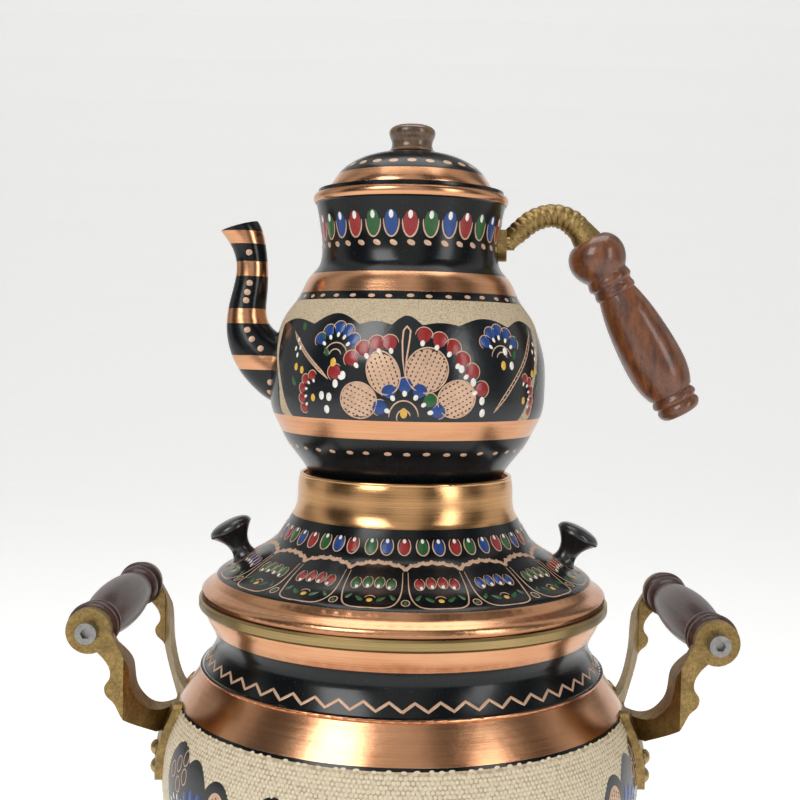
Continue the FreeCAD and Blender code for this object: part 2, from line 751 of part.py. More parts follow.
key_washer_top = key_low - SOLDER_GAP
key_washer = ring(STUB_R + SHANK_FIT, PLUG_TOP_R + 1.0, key_washer_top - KEY_WASHER_T, key_washer_top)
key_washer.translate(V(0, plug_y, 0))
save("tap_key_washer", key_washer)

nut_z = key_low - 2 * SOLDER_GAP - KEY_WASHER_T - KEY_NUT_H
key_nut = hexagon(KEY_NUT_R, V(0, plug_y, nut_z), Z_AXIS, KEY_NUT_H)
key_nut = key_nut.cut(rod(STUB_R + SHANK_FIT, V(0, plug_y, nut_z - 1), Z_AXIS, KEY_NUT_H + 2))
save("tap_key_nut", key_nut)

# cover
rim_r = mouth_out - 1.2
cone_line = [
    (rim_r, CONE_Z),
    (rim_r - 0.4, CONE_Z + 1.8),
    (rim_r - 4.8, CONE_Z + 0.6 * COVER_RIM_H),
    (rim_r - 7.3, CONE_Z + COVER_RIM_H),
]
mid_r = rim_r - 7.3
top_r = COLLAR_R + 3.6
for share, height in ((0.80, 0.120), (0.60, 0.262), (0.40, 0.420), (0.24, 0.560), (0.11, 0.765), (0.0, 1.0)):
    cone_line.append((top_r + share * (mid_r - top_r),
                      CONE_Z + COVER_RIM_H + height * (CONE_H - COVER_RIM_H)))
cone_solid = filled(cone_line, SOLDER_GAP)
cone_void = filled(cone_line, -COPPER - SOLDER_GAP)

tilt = math.radians(KNOB_TILT)
knob_up = V(math.sin(tilt), 0, math.cos(tilt))
knob_z = 0.0
for (r0, z0), (r1, z1) in zip(cone_line[:-1], cone_line[1:]):
    if r1 <= KNOB_AT <= r0:
        knob_z = z0 + (z1 - z0) * (r0 - KNOB_AT) / (r0 - r1)
knob_foot = V(KNOB_AT, 0, knob_z)
knob_hole = rod(KNOB_SCREW_R + SHANK_FIT, knob_foot - knob_up * 10, knob_up, 10 + KNOB_SCREW_DEPTH + 0.5)

cover_cone = sheet(cone_line, COPPER)
cover_cone = cover_cone.cut(group([knob_hole, mirrored_x(knob_hole)]))
save("cover_cone", cover_cone)

collar_line = [
    (top_r, COLLAR_Z + SOLDER_GAP),
    (COLLAR_R + 1.9, COLLAR_Z + 0.17 * COLLAR_H),
    (COLLAR_R + 1.1, COLLAR_Z + 0.55 * COLLAR_H),
    (COLLAR_R, COLLAR_TOP - 1.0),
]
collar_bead = Part.makeTorus(COLLAR_R - COLLAR_WALL / 2, 0.55 * COLLAR_WALL + 0.25,
                             V(0, 0, COLLAR_TOP - 1.0), Z_AXIS)
cover_collar = sheet(collar_line, COLLAR_WALL).fuse(collar_bead).removeSplitter()
save("cover_collar", cover_collar)

seat_top = POT_Z - REST_GAP
seat_low = seat_top - SEAT_SHEET
sleeve_r = TUBE_R + SLEEVE_ROOM
seat_r = radius_at(collar_line, seat_low) - COLLAR_WALL - 2 * SOLDER_GAP
cover_seat = ring(sleeve_r - 3.0, seat_r, seat_low, seat_top)
slots = [rod(SEAT_SLOT_R, V(0.5 * (seat_r + sleeve_r + TUBE_WALL) * math.cos(a),
                            0.5 * (seat_r + sleeve_r + TUBE_WALL) * math.sin(a), seat_low - 1),
             Z_AXIS, SEAT_SHEET + 2)
         for a in [2 * math.pi * i / SEAT_SLOTS for i in range(SEAT_SLOTS)]]
cover_seat = cover_seat.cut(group(slots))
cover_seat = cover_seat.fuse(ring(sleeve_r, sleeve_r + TUBE_WALL, seat_low - SLEEVE_H, seat_low))
save("cover_seat", cover_seat.removeSplitter())

skirt_out = radius_at(body_line, BODY_TOP - SKIRT_H + 4.0) - COPPER - SKIRT_INSET + 2.0
flange_out = rim_r - COPPER - 3 * SOLDER_GAP
cover_ring = spin_lines([
    (skirt_out - COPPER, COVER_Z - SKIRT_H),
    (skirt_out, COVER_Z - SKIRT_H),
    (skirt_out, COVER_Z),
    (flange_out, COVER_Z),
    (flange_out, CONE_Z - 0.3),
    (flange_out - 0.4, CONE_Z + 1.2),
    (skirt_out - COPPER, CONE_Z + 1.2),
])
save("cover_ring", cover_ring)

knob_curve = [(KNOB_STEM_R + 1.6, 0.0), (KNOB_STEM_R, 0.14 * KNOB_H), (KNOB_STEM_R + 0.3, 0.38 * KNOB_H),
              (0.72 * KNOB_CAP_R, 0.58 * KNOB_H), (KNOB_CAP_R, 0.74 * KNOB_H)]
knob_dome = [(KNOB_CAP_R, 0.74 * KNOB_H), (KNOB_CAP_R - 0.2, 0.82 * KNOB_H), (0.72 * KNOB_CAP_R, 0.94 * KNOB_H),
             (0.0, KNOB_H)]
knob = turned([curve(knob_curve), curve(knob_dome)] + lines([(0.0, KNOB_H), (0.0, 0.0), knob_curve[0]]),
              knob_foot, knob_up)
knob = knob.cut(cone_solid).cut(knob_hole).removeSplitter()
save("cover_knobs", group([knob, mirrored_x(knob)]))

knob_screw = rod(KNOB_SCREW_R, knob_foot - knob_up * 5, knob_up, 5 + KNOB_SCREW_DEPTH)
head_down = COPPER + 1.5 + KNOB_SCREW_HEAD_H
screw_head = rod(KNOB_SCREW_HEAD_R, knob_foot - knob_up * head_down, knob_up,
                 KNOB_SCREW_HEAD_H + 1.5).common(cone_void)
knob_screw = knob_screw.cut(rod(10, knob_foot - knob_up * 30, knob_up, 30 - head_down))
knob_screw = knob_screw.fuse(screw_head).removeSplitter()
save("cover_knob_screws", group([knob_screw, mirrored_x(knob_screw)]))

# teapot
pot_inner = offset(pot_line, -COPPER)
neck_r = pot_line[-1][0]
bottom_r = pot_line[0][0]
rim_curve = [pot_line[-1], (neck_r + 1.3, POT_TOP + 0.26 * POT_RIM_H),
             (neck_r + 1.6, POT_TOP + 0.57 * POT_RIM_H), (neck_r + 0.9, POT_TOP + 0.86 * POT_RIM_H)]
bottom_edge = lines([pot_line[0], (bottom_r - 2.5, POT_Z), (0.0, POT_Z), (0.0, pot_inner[0][1]),
                     pot_inner[0]])
rim_edge = lines([rim_curve[-1], (neck_r - 0.4, RIM_TOP), (neck_r - 2.4, RIM_TOP),
                  (neck_r - 3.2, RIM_TOP - 1.0), pot_inner[-1]])
pot_shell = spin([curve(pot_line), curve(rim_curve), curve(pot_inner)] + bottom_edge + rim_edge)
pour_hole = rod(POUR_HOLE_R, V(0, 0, POT_Z + POUR_HOLE_UP), V(-1, 0, 0), POT_R + 10)
plate_in = radius_at(pot_line, POT_Z + BRACKET_PLATE_LOW)
pot_rivet_holes = [rod(POT_RIVET_R + SHANK_FIT, V(plate_in - 8, y, POT_Z + POT_RIVET_Z), X_AXIS,
                       BRACKET_PLATE_T + 11) for y in (-POT_RIVET_Y, POT_RIVET_Y)]
pot_shell = pot_shell.cut(pour_hole).cut(group(pot_rivet_holes))
save("pot_shell", pot_shell)

tip_low = V(-SPOUT_TIP_LOW[0], 0, POT_Z + SPOUT_TIP_LOW[1])
tip_high = V(-SPOUT_TIP_HIGH[0], 0, POT_Z + SPOUT_TIP_HIGH[1])
along = (tip_high - tip_low).normalize()
upward = V(-along.z, 0, along.x)
tip_box = Part.Face(Part.makePolygon([
    tip_low - along * 40 + V(0, -40, 0),
    tip_high + along * 40 + V(0, -40, 0),
    tip_high + along * 40 + V(0, -40, 0) + upward * 40,
    tip_low - along * 40 + V(0, -40, 0) + upward * 40,
    tip_low - along * 40 + V(0, -40, 0),
])).extrude(V(0, 80, 0))
spout = bent_tube(SPOUT_RINGS, -1, POT_Z, 0.0).cut(bent_tube(SPOUT_RINGS, -1, POT_Z, SPOUT_WALL))
spout = spout.cut(tip_box).cut(pot_solid)
spout = max(spout.Solids, key=lambda s: s.Volume)
save("pot_spout", spout)

bracket = bent_tube(BRACKET_RINGS, 1, POT_Z, 0.0)
low_z = POT_Z + BRACKET_PLATE_LOW
high_z = POT_Z + BRACKET_PLATE_HIGH
plate = Part.makeBox(POT_R, 2 * BRACKET_PLATE_R, high_z - low_z, V(0, -BRACKET_PLATE_R, low_z))
plate = plate.fuse(rod(BRACKET_PLATE_R, V(0, 0, low_z), X_AXIS, POT_R))
plate = plate.common(ring(plate_in - 5, plate_in + BRACKET_PLATE_T, low_z - 20, high_z))
web = rod(WEB_R, V(plate_in - 3, 0, low_z + 1.0), X_AXIS, 11.0)
bracket = bracket.fuse([plate, web]).cut(pot_solid)
bracket = max(bracket.Solids, key=lambda s: s.Volume)
grip_lean = math.radians(POT_GRIP_TILT)
grip_down = V(math.sin(grip_lean), 0, math.cos(grip_lean))
last = BRACKET_RINGS[-1]
grip_top = V(last[0], 0, POT_Z + last[1])
thread_hole = rod(POT_BOLT_R + SHANK_FIT, grip_top - grip_down * POT_BOLT_THREAD, grip_down,
                  POT_BOLT_THREAD + 1)
bracket = bracket.cut(thread_hole).cut(group(pot_rivet_holes)).removeSplitter()
save("pot_bracket", bracket)

pot_rivets = []
for y in (-POT_RIVET_Y, POT_RIVET_Y):
    near = math.sqrt(plate_in ** 2 - y ** 2)
    far = math.sqrt((plate_in + BRACKET_PLATE_T) ** 2 - y ** 2)
    rivet_z = POT_Z + POT_RIVET_Z
    rivet_shank = rod(POT_RIVET_R, V(near - COPPER - 1.0, y, rivet_z), X_AXIS, far - near + COPPER + 1.6)
    inner_head = rod(POT_RIVET_HEAD_R, V(near - COPPER - POT_RIVET_HEAD_H - 1.0, y, rivet_z), X_AXIS, 8)
    outer_head = rod(POT_RIVET_HEAD_R, V(far - 2, y, rivet_z), X_AXIS, 2 + POT_RIVET_HEAD_H)
    outer_head = outer_head.cut(rod(plate_in + BRACKET_PLATE_T + SOLDER_GAP, V(0, 0, POT_Z), Z_AXIS, POT_H))
    web_room = rod(WEB_R + 2 * SOLDER_GAP, V(plate_in - 3, 0, low_z + 1.0), X_AXIS, 12.0)
    pot_rivets.append(rivet_shank.fuse([inner_head.common(pot_void), outer_head]).cut(web_room))
save("pot_rivets", group([max(r.Solids, key=lambda s: s.Volume) for r in pot_rivets]))

grip_parts = [[(r, share * POT_GRIP_L) for share, r in part]
              for part in (POT_GRIP_SHAPE, POT_GRIP_BELLY, POT_GRIP_END)]
first_r = POT_GRIP_SHAPE[0][1]
last_r = POT_GRIP_END[-1][1]
pot_grip = turned([curve(p) for p in grip_parts] + lines([(last_r, POT_GRIP_L), (0.0, POT_GRIP_L), (0.0, 0.0),
                                                          (first_r, 0.0)]),
                  grip_top + grip_down * SOLDER_GAP, grip_down)
sink = POT_GRIP_L - POT_BOLT_SINK
pot_grip = pot_grip.cut(rod(POT_BOLT_R + SHANK_FIT, grip_top - grip_down, grip_down, POT_GRIP_L + 2))
washer_pocket = rod(POT_WASHER_R + SHANK_FIT, grip_top + grip_down * sink, grip_down, POT_BOLT_SINK + 1)
pot_grip = pot_grip.cut(washer_pocket)
save("pot_grip", pot_grip)

washer_at = grip_top + grip_down * (sink + SOLDER_GAP)
grip_washer = rod(POT_WASHER_R, washer_at, grip_down, POT_WASHER_T)
grip_washer = grip_washer.cut(rod(POT_BOLT_R + SHANK_FIT, washer_at - grip_down, grip_down, 3))
save("pot_grip_washer", grip_washer)

head_at = sink + 2 * SOLDER_GAP + POT_WASHER_T
pot_bolt = rod(POT_BOLT_R, grip_top - grip_down * (POT_BOLT_THREAD - 0.5), grip_down,
               POT_BOLT_THREAD - 0.5 + head_at)
pot_bolt = pot_bolt.fuse(rod(POT_BOLT_HEAD_R, grip_top + grip_down * head_at, grip_down, POT_BOLT_HEAD_H))
slot = Part.makeBox(2.4 * POT_BOLT_HEAD_R, 1.0, 2.0, V(-1.2 * POT_BOLT_HEAD_R, -0.5, 0))
slot.Placement = FreeCAD.Placement(grip_top + grip_down * (head_at + POT_BOLT_HEAD_H - 1.2),
                                   FreeCAD.Rotation(Z_AXIS, grip_down))
save("pot_grip_bolt", pot_bolt.cut(slot).removeSplitter())

# lid of the teapot
dome_z = LID_Z + LID_FLANGE_T
lid_line = [(r * LID_FLANGE_R, dome_z + z * LID_RISE) for r, z in LID_SHAPE]
dome_inner = offset(lid_line, -COPPER)
dome_inner[-1] = (0.0, lid_line[-1][1] - COPPER)
lid_shell = spin([curve(lid_line), curve(dome_inner)]
                 + lines([lid_line[-1], dome_inner[-1]]) + lines([dome_inner[0], lid_line[0]]))
lid_shell = lid_shell.fuse([
    ring(dome_inner[0][0] - 1.0, LID_FLANGE_R, LID_Z, LID_Z + LID_FLANGE_T),
    ring(LID_SKIRT_R - COPPER, LID_SKIRT_R, LID_Z - LID_SKIRT_H, LID_Z + LID_FLANGE_T),
])
lid_hole = rod(LID_SCREW_R + SHANK_FIT, V(0, 0, LID_TOP - 6), Z_AXIS, 10)
save("lid_shell", lid_shell.cut(lid_hole).removeSplitter())

lid_knob_z = LID_TOP + SOLDER_GAP
lid_knob = spin([curve([(r, lid_knob_z + z) for r, z in LID_KNOB_SHAPE])]
                + lines([(0.0, lid_knob_z + LID_KNOB_SHAPE[-1][1]), (0.0, lid_knob_z),
                         (LID_KNOB_SHAPE[0][0], lid_knob_z)]))
lid_knob = lid_knob.cut(rod(LID_SCREW_R + SHANK_FIT, V(0, 0, lid_knob_z - 1), Z_AXIS, LID_SCREW_DEPTH + 1.3))
save("lid_knob", lid_knob)

washer_top = LID_TOP - COPPER - 0.10
lid_washer = ring(LID_SCREW_R + SHANK_FIT, LID_WASHER_R, washer_top - LID_WASHER_T, washer_top)
save("lid_washer", lid_washer)

screw_low = washer_top - LID_WASHER_T - SOLDER_GAP
lid_screw = rod(LID_SCREW_R, V(0, 0, screw_low), Z_AXIS, lid_knob_z + LID_SCREW_DEPTH - screw_low)
lid_screw = lid_screw.fuse(rod(LID_SCREW_HEAD_R, V(0, 0, screw_low - LID_SCREW_HEAD_H), Z_AXIS,
                               LID_SCREW_HEAD_H))
lid_screw = lid_screw.cut(Part.makeBox(2.4 * LID_SCREW_HEAD_R, 0.9, 1.1, V(
    -1.2 * LID_SCREW_HEAD_R, -0.45, screw_low - LID_SCREW_HEAD_H - 0.1)))
save("lid_screw", lid_screw.removeSplitter())
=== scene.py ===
# %% [markdown]
# # A painted copper samovar and its teapot
# A samovar is a water heater with a charcoal tube up its middle, and the small teapot keeps warm on its
# collar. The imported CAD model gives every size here. This lesson adds what CAD leaves out: enamel, engraving,
# brushed copper, cast brass, turned wood and the light that shows them.

# %% Load the frame
import json
import math

import bpy
import numpy as np
from mathutils import Matrix, Vector
from mathutils.bvhtree import BVHTree

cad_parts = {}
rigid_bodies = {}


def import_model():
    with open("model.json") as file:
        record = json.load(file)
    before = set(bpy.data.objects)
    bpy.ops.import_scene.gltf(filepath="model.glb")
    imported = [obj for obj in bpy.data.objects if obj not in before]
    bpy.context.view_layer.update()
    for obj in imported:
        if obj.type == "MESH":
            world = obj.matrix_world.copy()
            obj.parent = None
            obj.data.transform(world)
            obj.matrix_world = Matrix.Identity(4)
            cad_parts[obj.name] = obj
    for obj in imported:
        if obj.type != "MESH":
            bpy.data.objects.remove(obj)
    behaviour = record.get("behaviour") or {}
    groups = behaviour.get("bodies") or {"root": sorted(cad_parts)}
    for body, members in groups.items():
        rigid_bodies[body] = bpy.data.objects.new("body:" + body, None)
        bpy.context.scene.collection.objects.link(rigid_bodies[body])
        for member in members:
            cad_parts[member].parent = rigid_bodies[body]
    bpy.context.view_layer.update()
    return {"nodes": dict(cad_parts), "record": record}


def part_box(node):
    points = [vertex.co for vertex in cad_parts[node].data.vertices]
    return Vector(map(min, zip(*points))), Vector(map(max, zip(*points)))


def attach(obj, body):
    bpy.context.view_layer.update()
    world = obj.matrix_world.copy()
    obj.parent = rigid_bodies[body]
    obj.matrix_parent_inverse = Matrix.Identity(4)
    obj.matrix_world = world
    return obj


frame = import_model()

MM = 0.001
nodes = frame["nodes"]

# %% [markdown]
# ## Reading a turned wall
# The painting must lie on the copper, so each painted piece needs the outline of the wall under it. The
# outline could be typed in again, but then it would drift from the CAD. A ray shot inwards at each height
# finds the wall of the CAD node itself, which always agrees with it.

# %% The outline of a turned node


RAY_TURN = -40.0
RAY_COUNT = 420


def search_tree(node):
    """The tree of a node's triangles that rays are shot at."""
    mesh = nodes[node].data
    corners = [v.co.copy() for v in mesh.vertices]
    return BVHTree.FromPolygons(corners, [tuple(p.vertices) for p in mesh.polygons])


class Wall:
    """The outer wall of a turned node: height, radius and outward normal along its outline."""

    def __init__(self, node):
        low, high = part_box(node)
        tree = search_tree(node)
        side = math.radians(RAY_TURN)
        out = Vector((math.sin(side), -math.cos(side), 0.0))
        rows = []
        for z in np.linspace(low.z + 0.1 * MM, high.z - 0.1 * MM, RAY_COUNT):
            spot = tree.ray_cast(out + Vector((0, 0, z)), -out)[0]
            if spot is not None:
                rows.append((z, math.hypot(spot.x, spot.y)))
        self.z, self.r = np.array(rows).T
        self.low = low.z
        slope = np.gradient(self.r, self.z)
        self.n_out = 1 / np.hypot(1, slope)
        self.n_up = -slope * self.n_out

    def at(self, values, up):
        return np.interp(self.low + np.asarray(up) * MM, self.z, values)

    def place(self, turn, up, lift):
        """Point at an angle from the front (degrees, to the right), a height over the node's lowest
        point (mm) and a lift off the wall (mm): radius times sine and cosine, plus lift times normal."""
        turn = np.radians(turn)
        radius = self.at(self.r, up) + self.at(self.n_out, up) * lift * MM
        height = self.low + up * MM + self.at(self.n_up, up) * lift * MM
        return np.stack([radius * np.sin(turn), -radius * np.cos(turn), height], -1)

    def shift(self, turn, up, across, along):
        """The angle and height reached from a spot by a step (mm) round the wall and up its slope."""
        radius = self.at(self.r, up) / MM
        return turn + np.degrees(across / radius), up + along * self.at(self.n_out, up)


# %% [markdown]
# ## Paint as thin relief
# Enamel dabs and engraved lines could be a texture, but the real paint stands up from the copper and catches
# the light at its edge. So each dab is a low dome and each line a low ridge, 0.1 to 0.4 mm high, computed for
# a whole row of dabs at once.

# %% Dabs, strokes and patches on a wall
paint_store = {}
SINK = 0.01  # mm that the rim of a dab or a line lies below its ground
PATCH_LIFT = 0.06
PATCH_ROWS = 26
DAB_RINGS = np.array([0.02, 0.45, 0.8, 1.0])[:, None]


def grid_faces(rows, cols, wrap=False):
    """Quads between neighbours of a grid of points, the last column joined to the first if it wraps."""
    index = np.arange(rows * cols).reshape(rows, cols)
    after = np.roll(index, -1, 1)
    if not wrap:
        index, after = index[:, :-1], after[:, :-1]
    return np.stack([index[:-1], after[:-1], after[1:], index[1:]], -1).reshape(-1, 4)


def turned(x, y, lean):
    """A step (x, y) turned by a lean in degrees, anticlockwise."""
    lean = np.radians(lean)
    return x * np.cos(lean) - y * np.sin(lean), x * np.sin(lean) + y * np.cos(lean)


class Canvas(Wall):
    """A turned wall that can be painted. What is painted rides on the same body as the wall."""

    def __init__(self, node, ride):
        super().__init__(node)
        self.ride = ride
        self.base = 0.0

    def keep(self, paint, points, faces):
        """Adds points and faces to what is gathered for one paint on one body."""
        paint_store.setdefault((paint, self.ride), []).append((points.reshape(-1, 3), faces))

    def dabs(self, paint, spots, thick=0.16, taper=0.0, segs=14):
        """Low domes. A spot is turn, up, width, height, lean: x = rho cos(phi) w/2 (1 - taper sin(phi)),
        y = rho sin(phi) h/2, turned by the lean, and lift = thick (1 - rho^2)."""
        spots = np.atleast_2d(np.asarray(spots, float))
        phi = np.linspace(0, 2 * np.pi, segs, endpoint=False)[None]
        x = DAB_RINGS * np.cos(phi) * (1 - taper * np.sin(phi)) / 2
        y = DAB_RINGS * np.sin(phi) / 2
        turn, up, width, height, lean = (spots[:, i][:, None, None] for i in range(5))
        at_turn, at_up = self.shift(turn, up, *turned(x * width, y * height, lean))
        points = self.place(at_turn, at_up, self.base + thick * (1 - DAB_RINGS ** 2) - SINK + 0 * at_up)
        starts = 4 * segs * np.arange(len(spots))[:, None, None]
        self.keep(paint, points, (grid_faces(4, segs, wrap=True)[None] + starts).reshape(-1, 4))

    def stroke(self, paint, path, width, thick=0.12, ends=0.6):
        """A ridge along a path of (turn, up): lift = thick (1 - j^2) across it, thinner at both ends."""
        path = np.asarray(path, float)
        turn, up = path[:, 0], path[:, 1]
        dx = np.gradient(np.radians(turn)) * self.at(self.r, up) / MM
        dy = np.gradient(up) / self.at(self.n_out, up)
        size = np.hypot(dx, dy) + 1e-9
        t = np.linspace(0, 1, len(path))
        half = 0.5 * width * (1 - ends * np.abs(2 * t - 1) ** 6)
        j = np.linspace(-1, 1, 5)[None]
        at_turn, at_up = self.shift(turn[:, None], up[:, None], (dy / size * half)[:, None] * j,
                                    (-dx / size * half)[:, None] * j)
        lift = self.base + thick * (1 - j ** 2) - SINK + 0 * at_up
        self.keep(paint, self.place(at_turn, at_up, lift), grid_faces(len(path), 5)[:, ::-1])

    def patch(self, paint, turns, lows, highs):
        """A thin skin between two edges over a range of turns: up = low + t (high - low)."""
        t = np.linspace(0, 1, PATCH_ROWS)[:, None]
        up = np.asarray(lows)[None] * (1 - t) + np.asarray(highs)[None] * t
        turn = np.asarray(turns)[None] + 0 * up
        self.keep(paint, self.place(turn, up, PATCH_LIFT + 0 * up), grid_faces(PATCH_ROWS, len(turns)))

    def arc(self, turn, up, radius, start, stop, squash=1.0, count=22):
        """Path of part of an ellipse (mm) round a spot on the wall."""
        a = np.radians(np.linspace(start, stop, count))
        return np.stack(self.shift(turn, up, radius * np.cos(a), squash * radius * np.sin(a)), -1)

    def line(self, turn, up, steps):
        """Path through steps (mm across, mm along) from a spot, each leg cut into ten short pieces."""
        steps = np.asarray(steps, float)
        t = np.linspace(0, len(steps) - 1, 10 * (len(steps) - 1) + 1)
        x = np.interp(t, np.arange(len(steps)), steps[:, 0])
        y = np.interp(t, np.arange(len(steps)), steps[:, 1])
        return np.stack(self.shift(turn, up, x, y), -1)


def ringed(count, up, width, height, lean=0.0, start=0.0, wobble=0.0, seed=1):
    """Spots evenly round a wall, each a little off its place as a hand leaves them."""
    rng = np.random.default_rng(seed)
    turns = start + np.arange(count) * 360 / count
    jitter = rng.uniform(-1, 1, (count, 3)) * wobble
    return np.stack([turns + jitter[:, 0], up + 0.3 * jitter[:, 1], width * (1 + 0.12 * jitter[:, 2]),
                     height * (1 + 0.10 * jitter[:, 0]), lean + 6 * jitter[:, 1]], -1)


pot = Canvas("pot_shell", "teapot")
cone = Canvas("cover_cone", "cover")
body = Canvas("body_shell", "samovar")
print("teapot radius mm:", round(float(pot.r.max()) / MM, 1), "body:", round(float(body.r.max()) / MM, 1))

# %% [markdown]
# ## The painting on the teapot's neck
# Petals hang from the rim all round the neck, with slanting dots below. Each petal is a coloured dab, a white
# oval at its root and an engraved line round it.

# %% Petals and dots of the neck
ENAMELS = ("red", "green", "blue")
NECK_PETALS = 30
PETALS_UP = 122.8
NECK_DOTS_UP = 114.0
SHOULDER_DOTS_UP = 89.0
FOOT_DOTS_UP = 17.0
petals = ringed(NECK_PETALS, PETALS_UP, 6.5, 12.8, wobble=0.5, seed=3)
for i, name in enumerate(ENAMELS):
    pot.dabs(name, petals[i::3], thick=0.22, taper=-0.12)
whites = petals.copy()
whites[:, 1] += 3.7
whites[:, 2:4] = (2.6, 4.6)
pot.dabs("white", whites, thick=0.38)
for turn, up in petals[:, :2]:
    pot.stroke("engraved", pot.arc(turn, up + 1.0, 3.7, 172, 368, squash=1.95), 0.75)
pot.dabs("engraved", ringed(34, NECK_DOTS_UP, 3.9, 2.5, lean=-24, wobble=0.3, seed=4))
pot.dabs("engraved", ringed(38, SHOULDER_DOTS_UP, 3.4, 1.9, wobble=0.6, seed=5), thick=0.12)
pot.dabs("engraved", ringed(40, FOOT_DOTS_UP, 3.6, 2.1, wobble=0.6, seed=6), thick=0.12)
print("neck petals:", NECK_PETALS)

# %% [markdown]
# ## The flower panel on the belly
# A black panel with a scalloped top stands on the cream ground, once in front and once behind. The panel's
# top edge is a row of half-sine scallops, and its sides curve in towards the foot so that a cream crescent is
# left.

# %% Black scalloped panels
PANEL_LOW = 32.4
PANEL_TOP = 76.5
PANEL_LEFT = -66
PANEL_RIGHT = 72
SCALLOPS = ((PANEL_LEFT, -39, 2.6), (-39, -16, 5.0), (-16, -2.5, 1.6), (-2.5, 10, 4.2), (10, 25.5, 1.2),
            (25.5, 51, 3.6), (51, PANEL_RIGHT, 3.4))


def panel(middle):
    """Top edge: a half sine over each scallop. Side: the panel is narrower low down, so the skin's
    lower edge climbs towards the ends."""
    turns = np.linspace(PANEL_LEFT, PANEL_RIGHT, 280)
    high = np.full_like(turns, PANEL_TOP)
    for start, stop, rise in SCALLOPS:
        inside = (turns >= start) & (turns <= stop)
        high[inside] += rise * np.sin(np.pi * (turns[inside] - start) / (stop - start)) - 1.0
    side = np.clip((np.abs(turns - 3) - 52) / 17, 0, 1)
    low = PANEL_LOW + (high - PANEL_LOW - 0.6) * side ** 1.3
    pot.patch("black", turns + middle, low, high)


def side_panel(middle, half):
    """A plain black field between two crescents, bulging towards its foot."""
    turns = np.linspace(-half, half, 40)
    t = 1 - (turns / half) ** 2
    pot.patch("black", turns + middle, np.full_like(turns, PANEL_LOW), PANEL_LOW + 46 * t ** 0.55)


PAINT_TURN = -4.6
for middle in (PAINT_TURN, PAINT_TURN + 180):
    panel(middle)
    side_panel(middle + 93, 30)
print("scallops per panel:", len(SCALLOPS))

# %% [markdown]
# ## The flower itself
# Its heart is a yellow eye in engraved arcs, a fan of blue dabs, four great petals scratched back to the
# copper and hatched, then an outer bow of red dabs with white points. All of it is drawn from short lists of
# spots, and the back panel reuses them turned by half a circle.

# %% Hatched petals and flower spots


def hatched_petal(on, turn, up, width, height, lean):
    """A copper oval with rows of short dark dashes that run along it."""
    on.dabs("engraved", [(turn, up, width, height, lean)], thick=0.14, segs=36)
    dashes = []
    for row in np.arange(-0.5 * width + 1.5, 0.5 * width - 1.0, 2.25):
        reach = 0.5 * height * math.sqrt(max(0.0, 1 - (2 * row / width) ** 2)) - 0.9
        for step in np.arange(-reach, reach, 2.0):
            bend = row * (1 - 0.35 * (step / height) ** 2)
            dashes.append((*on.shift(turn, up, *turned(bend, step, lean)), 0.85, 1.4, lean))
    on.dabs("ink", dashes, thick=0.2, segs=8)
    a = np.linspace(0, 2 * np.pi, 44)
    rim = turned(0.5 * width * np.cos(a), 0.5 * height * np.sin(a), lean)
    rim = np.stack(on.shift(turn, up, *rim), -1)
    on.stroke("engraved", rim, 0.7, thick=0.2, ends=0.0)


def pointed_dabs(on, paint, spots, inward, size=(6.4, 7.4)):
    """Coloured dabs, each with a bright outline above it and a white point on its inner side."""
    for turn, up in spots:
        away = math.atan2(up - inward[1], (turn - inward[0]) * 1.18)
        lean = math.degrees(away) - 90
        on.dabs(paint, [(turn, up, size[0], size[1], lean)], thick=0.26, taper=-0.15, segs=18)
        on.stroke("engraved", on.arc(turn, up, 0.53 * size[1], lean - 10, lean + 190), 0.45)
        back = on.shift(turn, up, -0.5 * size[1] * math.cos(away), -0.5 * size[1] * math.sin(away))
        on.dabs("white", [(*back, 0.33 * size[0], 0.42 * size[1], lean)], thick=0.4)


def hatched_bar(on, start, stop):
    """A narrow engraved bar between two spots, with cross ticks inside its two edges."""
    for side in (-1.15, 1.15):
        t = np.linspace(0, 1, 30)
        path = np.stack([start[0] + (stop[0] - start[0]) * t, start[1] + (stop[1] - start[1]) * t], -1)
        path[:, 0] += side * 0.75 * np.clip(6 * t, 0, 1) * np.clip(6 - 6 * t, 0, 1)
        on.stroke("engraved", path, 0.65)
    ticks = []
    for t in np.linspace(0.05, 0.95, 17):
        ticks.append((start[0] + (stop[0] - start[0]) * t, start[1] + (stop[1] - start[1]) * t, 0.5, 2.2, 60))
    on.dabs("pink", ticks, thick=0.16, segs=8)


